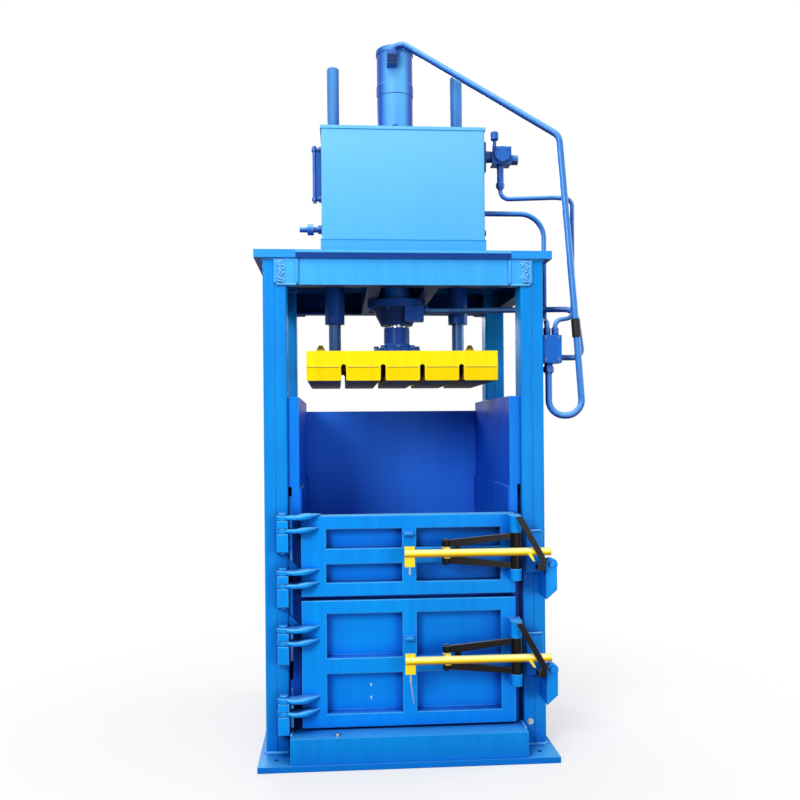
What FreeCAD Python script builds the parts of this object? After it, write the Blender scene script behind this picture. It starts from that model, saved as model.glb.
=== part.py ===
"""Upright recycling baler: a welded frame, a bale chamber with two hinged doors, and an oil
cylinder that drives a guided platen down into the chamber.  Millimetres, +Z up.  The origin is
the middle of the frame at floor height, the doors face -Y."""

import FreeCAD, Part
import math
import os
import re
import Sketcher

Vector = FreeCAD.Vector
doc = FreeCAD.newDocument("baler")
sheet = doc.addObject("Spreadsheet::Sheet", "Sizes")

# ---------------------------------------------------------------- driving dimensions
SIZES = [
    # welded frame
    ("frame_width", 1200), ("frame_depth", 1000), ("base_thickness", 25), ("base_front", 150),
    ("base_side", 24), ("base_rear", 60), ("anchor_hole", 22), ("column_width", 100),
    ("column_depth", 120), ("column_wall", 8), ("column_corner", 9), ("seam_groove", 4),
    ("plate_thickness", 35), ("plate_side", 36), ("plate_front", 16), ("beam_height", 112),
    ("beam_flange", 60), ("beam_wall", 10), ("cylinder_beam_gap", 192),
    ("lap_width", 45), ("lap_thickness", 6),
    # bale chamber
    ("wall_side_gap", 37), ("wall_front_gap", 22), ("wall_rear_gap", 50),
    ("liner_thickness", 8), ("liner_rise", 110), ("wall_thickness", 10), ("step_rise", 9),
    ("wall_step_width", 32), ("wall_upper_height", 382), ("rear_wall_drop", 44),
    ("rib_height", 80), ("rib_wall", 6), ("side_rib_depth", 70), ("rear_rib_depth", 40),
    ("rib_low", 300), ("rib_pitch", 400), ("floor_top", 100), ("floor_thickness", 12),
    ("bearer_width", 60), ("bearer_pitch", 380), ("strap_slot", 22), ("slot_margin", 36),
    ("sill_front", 140), ("sill_height", 105), ("sill_end_gap", 8),
    # doors
    ("hinge_gap", 55), ("latch_gap", 40), ("door_gap", 2), ("door_depth", 60),
    ("door_skin", 8), ("door_wall", 6), ("door_step", 40), ("lower_door_height", 533),
    ("door_split", 17), ("upper_door_height", 338), ("hinge_stile", 104), ("latch_stile", 62),
    ("centre_stile", 60), ("centre_stile_left", 22), ("door_rail", 57), ("middle_rail", 66),
    ("upper_middle_drop", 2), ("lower_middle_drop", 9.5), ("rest_width", 38), ("rest_out", 30),
    ("rest_thickness", 12), ("rest_inset", 6),
    # hinges
    ("hinge_in", 20), ("hinge_out", 52), ("eye_radius", 28), ("pin_radius", 12),
    ("leaf_thickness", 20), ("leaf_pitch", 54), ("leaf_reach", 158), ("leaf_tip", 6),
    ("leaf_bow", 104), ("block_width", 46), ("block_drop", 110), ("block_slope", 24),
    ("block_web", 12), ("pin_inset", 12), ("pin_clearance", 0.05), ("leaf_clearance", 0.5),
    ("pin_head", 10), ("pin_head_radius", 18), ("top_leaf_drop", 58), ("second_leaf_rise", 52),
    ("third_leaf_drop", 169), ("bottom_leaf_rise", 72), ("gusset_reach", 50),
    ("gusset_height", 48), ("gusset_thickness", 12), ("gusset_back", 4),
    ("gusset_rise", 58), ("low_gusset_rise", 14),
    # latches
    ("upper_bar_rise", 54), ("lower_bar_rise", 74), ("ear_in", 9), ("ear_out", 60),
    ("ear_radius", 24), ("ear_low", 50), ("ear_high", 72), ("yoke_pin", 10), ("yoke_tube", 23),
    ("yoke_tube_length", 150), ("yoke_reach", 294), ("yoke_plate", 14), ("yoke_arm", 26),
    ("yoke_eye", 17), ("yoke_eye_height", 22), ("yoke_slot", 34), ("yoke_neck", 58),
    ("bush_clearance", 4), ("pin_end", 6), ("bar_radius", 16.5), ("bar_clearance", 3.5),
    ("bar_left", 20), ("bar_short", 12), ("neck_width", 24), ("grip_width", 42),
    ("grip_height", 84), ("grip_depth", 16), ("grip_drop", 12), ("claw_width", 26),
    ("claw_thickness", 10), ("claw_top", 146), ("claw_point", 4), ("claw_bend", 36),
    ("claw_tip", 76), ("claw_lean", 104), ("claw_finger", 36), ("catch_x", 33), ("catch_width", 18),
    ("catch_tip", 9), ("catch_run", 36), ("catch_fall", 38), ("catch_thickness", 13),
    ("catch_gap", 0.5), ("finger_length", 34),
    ("finger_height", 24), ("lug_in", 4), ("lug_out", 128), ("lug_width", 46),
    ("lug_height", 146), ("lug_slope", 40), ("lug_drop", 58), ("lug_eye", 26), ("lug_eye_depth", 40),
    ("lug_pin", 11), ("lug_pin_proud", 9), ("striker_width", 70), ("striker_low", 110),
    ("striker_high", 70), ("lock_pin", 5), ("lock_pin_length", 58), ("lock_pin_hold", 26),
    ("pocket_depth", 30), ("rest_rise", 66),
    # press: cylinder, ram, platen and guides
    ("barrel_radius", 86), ("bore_radius", 70), ("barrel_length", 1187), ("cap_thickness", 25),
    ("cap_proud", 4), ("band_drop", 206), ("band_height", 58), ("band_proud", 3),
    ("boss_x", 20), ("boss_y", 112), ("boss_width", 46), ("boss_drop", 40),
    ("boss_root", 6), ("gland_radius", 140), ("gland_flange", 35), ("gland_drop", 116),
    ("gland_nose", 76), ("gland_nose_height", 18), ("gland_taper", 8), ("gland_step", 22),
    ("port_left", 30), ("port_width", 90), ("port_front", 128), ("port_depth", 56),
    ("port_height", 72), ("port_rise", 20), ("rod_radius", 45), ("rod_bevel", 3),
    ("slide_clearance", 0.1), ("piston_height", 70), ("piston_gap", 8), ("seal_groove", 4),
    ("platen_side_gap", 22), ("platen_depth", 760), ("platen_rise", 74), ("bar_height", 61),
    ("box_height", 70), ("platen_skin", 12), ("platen_deck", 20), ("bar_chamfer", 5),
    ("rod_flange_radius", 115), ("rod_flange_height", 40), ("flange_bevel", 5),
    ("socket_radius", 62), ("socket_height", 142), ("socket_foot", 20),
    ("socket_foot_height", 26), ("socket_gap", 11), ("flange_bolt", 18.2),
    ("flange_bolt_height", 13), ("flange_bolt_in", 16), ("gland_bolt_in", 12),
    ("guide_x", 298), ("guide_radius", 29), ("left_guide_length", 1392),
    ("right_guide_length", 1362), ("guide_bevel", 6), ("sleeve_radius", 47),
    ("sleeve_drop", 108), ("sleeve_proud", 15), ("guide_collar", 42),
    ("guide_collar_height", 16), ("collar_step", 4), ("weld_gap", 0.3), ("tab_width", 44),
    ("tab_top", 16), ("tab_height", 26), ("tab_in", 30), ("left_tab_in", 63),
    ("right_tab_in", 123),
    # oil unit
    ("tank_left", 350), ("tank_right", 355), ("tank_front_gap", 30), ("tank_depth", 350),
    ("tank_height", 540), ("tank_wall", 5), ("tank_skirt", 54), ("tank_proud", 4),
    ("tank_lip", 14), ("tank_corner", 8), ("gauge_back", 70), ("gauge_rise", 224),
    ("gauge_length", 246), ("gauge_radius", 9), ("gauge_out", 30), ("gauge_plate", 10),
    ("gauge_arm_in", 16), ("gauge_nut", 13), ("gauge_nut_height", 14), ("drain_rise", 108),
    ("drain_radius", 12), ("drain_neck", 34), ("drain_ball", 28), ("drain_reach", 96),
    ("drain_bulb", 24), ("breather_x", 160), ("breather_y", 230), ("breather_radius", 32),
    ("breather_neck", 20), ("breather_neck_height", 26), ("breather_height", 70),
    ("motor_radius", 92), ("motor_length", 300), ("motor_height", 112), ("motor_y", 300),
    ("motor_x", 190), ("cowl_length", 70), ("cowl_step", 10), ("end_bell", 12),
    ("fin_count", 20), ("fin_height", 10), ("fin_width", 5), ("foot_width", 46),
    ("front_foot_in", 110), ("rear_foot_in", 30), ("foot_rise", 26), ("box_in", 200),
    ("box_length", 110), ("box_depth", 100), ("box_rise", 52), ("pump_radius", 48),
    ("pump_length", 130), ("bell_radius", 80), ("bell_length", 90), ("bell_waist", 20),
    ("bell_flange", 14), ("valve_back", 170), ("valve_plate", 30), ("valve_foot_low", 36),
    ("valve_foot_high", 18), ("valve_neck", 26), ("valve_gap", 57), ("valve_length", 88),
    ("valve_rise", 428), ("valve_height", 77), ("valve_width", 74), ("cover_radius", 34),
    ("cover_depth", 18), ("cartridge_radius", 22), ("cartridge_length", 34),
    ("cartridge_drop", 12), ("knob_in", 18), ("knob_radius", 18), ("stem_length", 35),
    ("knob_height", 42), ("knob_bevel", 6), ("stem_radius", 8), ("port_in", 43),
    ("port_drop", 78), ("port_radius", 16), ("control_drop", 331), ("control_height", 121),
    ("control_width", 86), ("control_depth", 76), ("control_in", 22), ("nipple_length", 12),
    ("return_port_in", 30), ("feed_port_in", 66), ("outlet_in", 36), ("outlet_length", 14),
    ("outlet_radius", 19), ("rear_port_in", 54), ("rear_port_rise", 34),
    # pipes: radii, bends, how far the runs stand out from the frame's side and their levels
    ("thick_pipe", 15), ("port_pipe", 13), ("pressure_pipe", 10), ("return_pipe", 12),
    ("neck_bend", 34), ("shoulder_bend", 60), ("loop_bend", 70), ("slim_bend", 40),
    ("wide_bend", 110), ("neck_rise", 42), ("neck_reach", 56), ("neck_front", 18),
    ("shoulder_out", 90), ("shoulder_drop", 18), ("waist_out", 152), ("waist_drop", 68),
    ("hip_out", 188), ("loop_drop", 229), ("rod_side_reach", 120), ("port_run_out", 190),
    ("port_run_back", 170), ("port_run_drop", 23), ("port_fall_out", 220),
    ("pressure_drop", 74), ("pressure_out", 100), ("pressure_back", 160),
    ("pressure_side", 160), ("pressure_line_back", 112), ("pressure_foot", 123),
    ("return_rise", 228), ("return_back", 270), ("return_out", 70), ("return_foot", 113),
    ("return_step", 40), ("pressure_step", 20),
]

# Sizes that follow from the driving ones, each written once as a formula.  The heights stack
# up from the floor: chamber floor, doors, walls, platen, cylinder gland, head of the frame.
FORMULAS = {
    "half_width": "frame_width / 2",
    "half_depth": "frame_depth / 2",
    "column_inner": "half_width - column_width",
    "column_back": "half_depth - column_depth",
    "wall_outer": "column_inner - wall_side_gap",
    "wall_inner": "wall_outer - wall_thickness",
    "liner_face": "wall_inner - liner_thickness",
    "wall_front": "half_depth - wall_front_gap",
    "rear_wall_face": "half_depth - wall_rear_gap",
    "door_left": "column_inner - hinge_gap",
    "door_right": "column_inner - latch_gap",
    "door_back": "wall_front + door_gap",
    "door_front": "door_back + door_depth",
    "lower_door_low": "floor_top + door_step",
    "lower_door_high": "lower_door_low + lower_door_height",
    "upper_door_low": "lower_door_high + door_split",
    "upper_door_high": "upper_door_low + upper_door_height",
    "upper_middle": "(upper_door_low + upper_door_high - middle_rail) / 2 - upper_middle_drop",
    "lower_middle": "(lower_door_low + lower_door_high - middle_rail) / 2 - lower_middle_drop",
    "liner_top": "upper_door_high + liner_rise",
    "wall_step": "liner_top + step_rise",
    "wall_top": "wall_step + wall_upper_height",
    "rear_wall_top": "wall_top - rear_wall_drop",
    "platen_low": "wall_top + platen_rise",
    "box_low": "platen_low + bar_height",
    "platen_top": "box_low + box_height",
    "gland_low": "platen_top + socket_height + socket_gap",
    "beam_bottom": "gland_low + gland_drop",
    "column_top": "beam_bottom + beam_height",
    "column_height": "column_top - base_thickness",
    "plate_top": "column_top + plate_thickness",
    "hinge_x": "column_inner + hinge_in",
    "hinge_y": "half_depth + hinge_out",
    "hinge_one": "upper_door_high - top_leaf_drop",
    "hinge_two": "upper_door_low + second_leaf_rise",
    "hinge_three": "lower_door_high - third_leaf_drop",
    "hinge_four": "lower_door_low + bottom_leaf_rise",
    "upper_bar": "upper_middle + upper_bar_rise",
    "lower_bar": "lower_middle + lower_bar_rise",
    "ear_x": "door_right - ear_in",
    "ear_y": "door_front + ear_out",
    "eye_x": "ear_x - yoke_reach",
    "bar_y": "ear_y + yoke_tube + bar_radius + bar_clearance",
    "bar_right": "half_width - bar_short",
    "lug_x": "half_width - lug_in",
    "lug_front": "half_depth + lug_out",
    "platen_width": "2 * (liner_face - platen_side_gap)",
    "press_bar_width": "(platen_width - 4 * strap_slot) / 5",
    "press_bar_pitch": "press_bar_width + strap_slot",
    "port_level": "beam_bottom - gland_flange - port_rise",
    "barrel_top": "beam_bottom + barrel_length",
    "band_low": "barrel_top - band_drop",
    "band_high": "band_low + band_height",
    "piston_top": "barrel_top - piston_gap",
    "rod_low": "platen_top + rod_flange_height",
    "left_guide_top": "platen_top + left_guide_length",
    "right_guide_top": "platen_top + right_guide_length",
    "sleeve_low": "beam_bottom - sleeve_drop",
    "tank_top": "plate_top + tank_height",
    "tank_front": "half_depth - tank_front_gap",
    "gauge_y": "tank_front - gauge_back",
    "gauge_low": "plate_top + gauge_rise",
    "gauge_high": "gauge_low + gauge_length",
    "drain_level": "plate_top + drain_rise",
    "motor_axis": "plate_top + motor_height",
    "valve_y": "tank_front - valve_back",
    "valve_low": "plate_top + valve_rise",
    "valve_high": "valve_low + valve_height",
    "valve_mid": "(valve_low + valve_high) / 2",
    "valve_body_left": "tank_right + valve_gap",
    "valve_body_right": "valve_body_left + valve_length",
    "knob_x": "valve_body_left + knob_in",
    "knob_low": "valve_high + stem_length",
    "port_x": "valve_body_left + port_in",
    "control_front": "half_depth - control_in",
    "control_back": "control_front - control_depth",
    "control_mid": "control_front - control_depth / 2",
    "control_low": "beam_bottom - control_drop",
    "control_high": "control_low + control_height",
    "loop_low": "control_low - loop_drop",
}


def expand(text):
    """Write a formula out in cells of the sheet: derived names give their own formula."""
    def swap(match):
        word = match.group(0)
        if word in FORMULAS:
            return "(" + expand(FORMULAS[word]) + ")"
        return "Sizes." + word if word in CELLS else word
    return re.sub(r"[a-z][a-z_]+", swap, str(text))


def number(text):
    """The present value of a formula."""
    return float(sheet.evalExpression(expand(text)))


def bind(thing, prop, text):
    """Tie one property to a formula of the sheet's cells."""
    thing.setExpression(prop, expand(text))


CELLS = set()
for row, (alias, value) in enumerate(SIZES, start=1):
    sheet.set("A%d" % row, alias)
    sheet.set("B%d" % row, str(value))
    sheet.setAlias("B%d" % row, alias)
    CELLS.add(alias)
doc.recompute()

NODES = []


def keep(thing, label):
    """Name an object as one piece of the baler."""
    thing.Label = label
    if thing.Label != label:
        raise RuntimeError("the name %s is taken" % label)
    NODES.append(thing)
    return thing


# ---------------------------------------------------------------- small modelling helpers
def block(name, low, size):
    """A rectangular block: its low corner and its three sides as formulas."""
    box = doc.addObject("Part::Box", name)
    for prop, text in zip(("Length", "Width", "Height"), size):
        bind(box, prop, text)
    for axis, text in zip("xyz", low):
        bind(box, "Placement.Base." + axis, text)
    return box


AXES = {
    "x": FreeCAD.Rotation(Vector(0, 1, 0), 90),
    "y": FreeCAD.Rotation(Vector(1, 0, 0), -90),
    "z": FreeCAD.Rotation(),
}


def cylinder(name, radius, length, base, axis="z"):
    """A round bar or a drill from its base centre along +X, +Y or +Z."""
    bar = doc.addObject("Part::Cylinder", name)
    bind(bar, "Radius", radius)
    bind(bar, "Height", length)
    bar.Placement = FreeCAD.Placement(Vector(), AXES[axis])
    for letter, text in zip("xyz", base):
        bind(bar, "Placement.Base." + letter, text)
    return bar


def fuse(name, pieces):
    """Welded or cast together."""
    joined = doc.addObject("Part::MultiFuse", name)
    joined.Shapes = pieces
    return joined


def group(name, pieces):
    """Separate like pieces that share one name."""
    together = doc.addObject("Part::Compound", name)
    together.Links = pieces
    return together


def cut(name, base, tool):
    """Take a tool out of a piece."""
    result = doc.addObject("Part::Cut", name)
    result.Base = base
    result.Tool = tool
    return result


def add_loop(sketch, corners):
    """Draw one closed outline whose corners are pairs of formulas.  A third item is the radius
    of the arc from that corner to the next, bulging to the right of the way round."""
    points = [Vector(number(corner[0]), number(corner[1]), 0) for corner in corners]
    first = sketch.GeometryCount
    count = len(points)
    for index, corner in enumerate(corners):
        start = points[index]
        end = points[(index + 1) % count]
        if len(corner) == 3:
            radius = number(corner[2])
            half = (end - start) * 0.5
            rise = radius - math.sqrt(radius ** 2 - half.Length ** 2)
            side = Vector(half.y, -half.x, 0).normalize() * rise
            arc = Part.Arc(start, start + half + side, end)
            sketch.addGeometry(arc)
        else:
            sketch.addGeometry(Part.LineSegment(start, end))
    for index, corner in enumerate(corners):
        edge = first + index
        following = first + (index + 1) % count
        turned = len(corner) == 3 and sketch.Geometry[edge].StartPoint.distanceToPoint(
            points[index]) > 1e-6
        next_corner = corners[(index + 1) % count]
        next_turned = len(next_corner) == 3 and sketch.Geometry[following].StartPoint.distanceToPoint(
            points[(index + 1) % count]) > 1e-6
        sketch.addConstraint(Sketcher.Constraint(
            "Coincident", edge, 1 if turned else 2, following, 2 if next_turned else 1))
        start_end = 2 if turned else 1
        for kind, text, value in (("DistanceX", corner[0], points[index].x),
                                  ("DistanceY", corner[1], points[index].y)):
            tie = sketch.addConstraint(Sketcher.Constraint(kind, -1, 1, edge, start_end, value))
            bind(sketch, "Constraints[%d]" % tie, text)
        if len(corner) == 3:
            tie = sketch.addConstraint(Sketcher.Constraint("Radius", edge, number(corner[2])))
            bind(sketch, "Constraints[%d]" % tie, corner[2])


def add_hole(sketch, across, along, radius):
    """Draw one round hole in a sketch."""
    centre = Vector(number(across), number(along), 0)
    edge = sketch.addGeometry(Part.Circle(centre, Vector(0, 0, 1), number(radius)))
    tie = sketch.addConstraint(Sketcher.Constraint("Radius", edge, number(radius)))
    bind(sketch, "Constraints[%d]" % tie, radius)
    for kind, text, value in (("DistanceX", across, centre.x), ("DistanceY", along, centre.y)):
        tie = sketch.addConstraint(Sketcher.Constraint(kind, -1, 1, edge, 3, value))
        bind(sketch, "Constraints[%d]" % tie, text)


def new_sketch(body, plane, loops, holes=()):
    """A sketch on one of the body's own origin planes."""
    sketch = body.newObject("Sketcher::SketchObject", body.Name + "_outline")
    support = [item for item in body.Origin.OriginFeatures if item.Role == plane][0]
    sketch.AttachmentSupport = [(support, "")]
    sketch.MapMode = "FlatFace"
    for corners in loops:
        add_loop(sketch, corners)
    for across, along, radius in holes:
        add_hole(sketch, across, along, radius)
    return sketch


def padded(name, plane, loops, thickness, place=("0", "0", "0"), holes=()):
    """A body whose outline is carried straight: up from the XY plane, towards -Y from the XZ
    plane, towards +X from the YZ plane."""
    body = doc.addObject("PartDesign::Body", name)
    sketch = new_sketch(body, plane, loops, holes)
    pad = body.newObject("PartDesign::Pad", name + "_pad")
    pad.Profile = sketch
    bind(pad, "Length", thickness)
    for axis, text in zip("xyz", place):
        bind(body, "Placement.Base." + axis, text)
    doc.recompute()
    return body


def turned(name, loops, place=("0", "0", "0"), rotation=None):
    """A body turned about the Z axis from a half section drawn on the XZ plane."""
    body = doc.addObject("PartDesign::Body", name)
    sketch = new_sketch(body, "XZ_Plane", loops)
    spin = body.newObject("PartDesign::Revolution", name + "_spin")
    spin.Profile = sketch
    spin.ReferenceAxis = (sketch, ["V_Axis"])
    spin.Angle = 360
    if rotation is not None:
        body.Placement = FreeCAD.Placement(Vector(), rotation)
    for axis, text in zip("xyz", place):
        bind(body, "Placement.Base." + axis, text)
    doc.recompute()
    return body


def round_edges(body, radius, wanted, kind="Fillet"):
    """Round or bevel the edges of a body's tip that the test picks out."""
    doc.recompute()
    tip = body.Tip
    names = ["Edge%d" % place for place, edge in enumerate(tip.Shape.Edges, 1) if wanted(edge)]
    soft = body.newObject("PartDesign::" + kind, body.Name + "_" + kind.lower())
    soft.Base = (tip, names)
    bind(soft, "Radius" if kind == "Fillet" else "Size", radius)
    body.Tip = soft
    doc.recompute()
    return soft


def rectangle(left, low, right, high):
    """Four corners of an upright rectangle."""
    return [(left, low), (right, low), (right, high), (left, high)]


def negative(text):
    """The same size on the other side of the middle plane."""
    return "-(" + text + ")"


# ---------------------------------------------------------------- base plate and columns
base_left = negative("half_width + base_side")
base_front_edge = negative("half_depth + base_front")
base_plate = padded(
    "base_plate", "XY_Plane",
    [rectangle(base_left, base_front_edge, "half_width + base_side", "half_depth + base_rear")],
    "base_thickness",
    holes=[(side + " * (half_width - column_width / 2)", along, "anchor_hole / 2")
           for side in ("-1", "1")
           for along in (negative("half_depth + base_front / 2"), "half_depth + base_rear / 2")])
keep(base_plate, "base_plate")


def column(name, side, end):
    """Two channels welded toe to toe into a box, with a sunk seam front and back."""
    middle = "column_width / 2"
    outer = [
        ("0", "0"),
        (middle + " - seam_groove", "0"),
        (middle, "seam_groove"),
        (middle + " + seam_groove", "0"),
        ("column_width", "0"),
        ("column_width", "column_depth"),
        (middle + " + seam_groove", "column_depth"),
        (middle, "column_depth - seam_groove"),
        (middle + " - seam_groove", "column_depth"),
        ("0", "column_depth"),
    ]
    inner = rectangle("column_wall", "column_wall", "column_width - column_wall",
                      "column_depth - column_wall")
    across = "column_inner" if side > 0 else negative("half_width")
    along = negative("half_depth") if end < 0 else "column_back"
    body = padded(name, "XY_Plane", [outer, inner], "column_height",
                  (across, along, "base_thickness"))
    width = number("column_width")
    depth = number("column_depth")

    def is_corner(edge):
        spot = edge.CenterOfMass
        upright = abs(edge.BoundBox.ZLength - edge.Length) < 0.001
        return upright and min(abs(spot.x), abs(spot.x - width)) < 0.01 and min(
            abs(spot.y), abs(spot.y - depth)) < 0.01

    round_edges(body, "column_corner", is_corner)
    return body


keep(column("front_right_column", 1, -1), "front_right_column")
keep(column("rear_left_column", -1, 1), "rear_left_column")
keep(column("rear_right_column", 1, 1), "rear_right_column")
gusseted = [column("front_left_tube", -1, -1)]
for level in ("hinge_two + gusset_rise", "hinge_three + gusset_rise",
              "hinge_four + low_gusset_rise"):
    gusseted.append(padded("hinge_gusset", "XZ_Plane", [[
        ("0", "0"), ("gusset_reach", "0"), ("0", "gusset_height")]], "gusset_thickness",
        (negative("column_inner"), "gusset_back + gusset_thickness - half_depth", level)))
keep(fuse("gusseted_column", gusseted), "front_left_column")


# ---------------------------------------------------------------- head of the frame
def channel(facing):
    """Section of a beam: its web on the outside, its two flanges pointing inwards."""
    back = facing + " * beam_flange"
    web = facing + " * beam_wall"
    return [("0", "0"), (back, "0"), (back, "beam_wall"), (web, "beam_wall"),
            (web, "beam_height - beam_wall"), (back, "beam_height - beam_wall"),
            (back, "beam_height"), ("0", "beam_height")]


cross_length = "2 * column_inner"
side_length = "2 * column_back"
for label, facing, web_y, lap_y in (
        ("front_beam", "1", negative("half_depth"), negative("half_depth + lap_thickness")),
        ("rear_beam", "-1", "half_depth", "half_depth")):
    beam = padded(label + "_channel", "YZ_Plane", [channel(facing)], cross_length,
                  (negative("column_inner"), web_y, "beam_bottom"))
    laps = [block(label + "_lap", (low_x, lap_y, "beam_bottom"),
                  ("2 * lap_width", "lap_thickness", "beam_height"))
            for low_x in (negative("column_inner + lap_width"), "column_inner - lap_width")]
    keep(fuse(label + "_weldment", [beam] + laps), label)
left_beam = padded("left_beam", "XZ_Plane", [channel("1")], side_length,
                   (negative("half_width"), "column_back", "beam_bottom"))
keep(left_beam, "left_beam")
right_beam = padded("right_beam", "XZ_Plane", [channel("-1")], side_length,
                    ("half_width", "column_back", "beam_bottom"))
keep(right_beam, "right_beam")

cylinder_beams = []
for label, side in (("left_inner_beam", "-1"), ("right_inner_beam", "1")):
    beam = padded(label, "XZ_Plane", [channel("-1 * " + side)], "2 * (half_depth - beam_flange)",
                  (side + " * (cylinder_beam_gap / 2 + beam_flange)", "half_depth - beam_flange",
                   "beam_bottom"))
    cylinder_beams.append(beam)
keep(group("cylinder_beam_pair", cylinder_beams), "cylinder_beams")

top_plate = padded(
    "top_plate", "XY_Plane",
    [rectangle(negative("half_width + plate_side"), negative("half_depth + plate_front"),
               "half_width + plate_side", "half_depth + plate_front")],
    "plate_thickness", ("0", "0", "column_top"),
    holes=[("0", "0", "barrel_radius + weld_gap"),
           ("guide_x", "0", "sleeve_radius + weld_gap"),
           (negative("guide_x"), "0", "sleeve_radius + weld_gap")])
keep(top_plate, "top_plate")

# ---------------------------------------------------------------- bale chamber
sill_section = [("0", "0"), ("sill_front", "0"), ("sill_front", "beam_wall"),
                ("beam_wall", "beam_wall"), ("beam_wall", "sill_height - beam_wall"),
                ("sill_front", "sill_height - beam_wall"), ("sill_front", "sill_height"),
                ("0", "sill_height")]
sill = padded("sill", "YZ_Plane", [sill_section], "2 * (column_inner - sill_end_gap)",
              ("sill_end_gap - column_inner", negative("half_depth + sill_front"),
               "base_thickness"))
keep(sill, "sill")

floor_deck = padded(
    "floor_deck", "XY_Plane",
    [rectangle(negative("liner_face"), negative("wall_front"), "liner_face", "rear_wall_face")]
    + [rectangle("%s * press_bar_pitch - strap_slot / 2" % step,
                 negative("wall_front - slot_margin"),
                 "%s * press_bar_pitch + strap_slot / 2" % step,
                 "rear_wall_face - slot_margin") for step in ("-1.5", "-0.5", "0.5", "1.5")],
    "floor_thickness", ("0", "0", "floor_top - floor_thickness"))
bearers = [floor_deck]
for step in ("-1", "0", "1"):
    bearers.append(block("floor_bearer", (negative("liner_face"),
                                          step + " * bearer_pitch - bearer_width / 2",
                                          "base_thickness"),
                         ("2 * liner_face", "bearer_width",
                          "floor_top - floor_thickness - base_thickness")))
keep(fuse("floor_weldment", bearers), "chamber_floor")


RIB_STEPS = ("0", "1", "2")


def side_wall(name, side):
    """One chamber side: a plate with a turned front flange, narrower in its lower part, and
    three channel ribs outside between the columns."""
    s = side + " * "
    upper = padded(name + "_upper", "XY_Plane", [[
        (s + "wall_inner", negative("wall_front")),
        (s + "column_inner", negative("wall_front")),
        (s + "column_inner", negative("wall_front - wall_thickness")),
        (s + "wall_outer", negative("wall_front - wall_thickness")),
        (s + "wall_outer", "rear_wall_face"),
        (s + "wall_inner", "rear_wall_face")]], "wall_top - wall_step",
        ("0", "0", "wall_step"))
    lower = padded(name + "_lower", "XY_Plane", [[
        (s + "wall_inner", negative("wall_front")),
        (s + "(wall_inner + wall_step_width)", negative("wall_front")),
        (s + "(wall_inner + wall_step_width)", negative("wall_front - wall_thickness")),
        (s + "wall_outer", negative("wall_front - wall_thickness")),
        (s + "wall_outer", "rear_wall_face"),
        (s + "wall_inner", "rear_wall_face")]], "wall_step - base_thickness",
        ("0", "0", "base_thickness"))
    rib_section = [
        (s + "wall_outer", "0"),
        (s + "(wall_outer + side_rib_depth)", "0"),
        (s + "(wall_outer + side_rib_depth)", "rib_height"),
        (s + "wall_outer", "rib_height"),
        (s + "wall_outer", "rib_height - rib_wall"),
        (s + "(wall_outer + side_rib_depth - rib_wall)", "rib_height - rib_wall"),
        (s + "(wall_outer + side_rib_depth - rib_wall)", "rib_wall"),
        (s + "wall_outer", "rib_wall")]
    ribs = [padded(name + "_rib", "XZ_Plane", [rib_section], side_length,
                   ("0", "column_back", "rib_low + %s * rib_pitch" % step)) for step in RIB_STEPS]
    return keep(fuse(name + "_weldment", [upper, lower] + ribs), name)


side_wall("left_wall", "-1")
side_wall("right_wall", "1")

rear_plate = block("rear_plate", (negative("wall_outer"), "rear_wall_face", "base_thickness"),
                   ("2 * wall_outer", "wall_thickness", "rear_wall_top - base_thickness"))
rear_parts = [rear_plate]
outer_y = "rear_wall_face + wall_thickness"
rear_rib_section = [
    (outer_y, "0"), (outer_y + " + rear_rib_depth", "0"),
    (outer_y + " + rear_rib_depth", "rib_height"), (outer_y, "rib_height"),
    (outer_y, "rib_height - rib_wall"),
    (outer_y + " + rear_rib_depth - rib_wall", "rib_height - rib_wall"),
    (outer_y + " + rear_rib_depth - rib_wall", "rib_wall"), (outer_y, "rib_wall")]
for step in RIB_STEPS:
    rear_parts.append(padded("rear_rib", "YZ_Plane", [rear_rib_section], cross_length,
                             (negative("column_inner"), "0",
                              "rib_low + %s * rib_pitch" % step)))
keep(fuse("rear_weldment", rear_parts), "rear_wall")

for label, side in (("left_liner", "-1"), ("right_liner", "1")):
    low_x = "liner_face" if side == "1" else negative("wall_inner")
    liner = block(label, (low_x, negative("wall_front"), "base_thickness"),
                  ("liner_thickness", "wall_front + rear_wall_face", "liner_top - base_thickness"))
    keep(liner, label)


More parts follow.
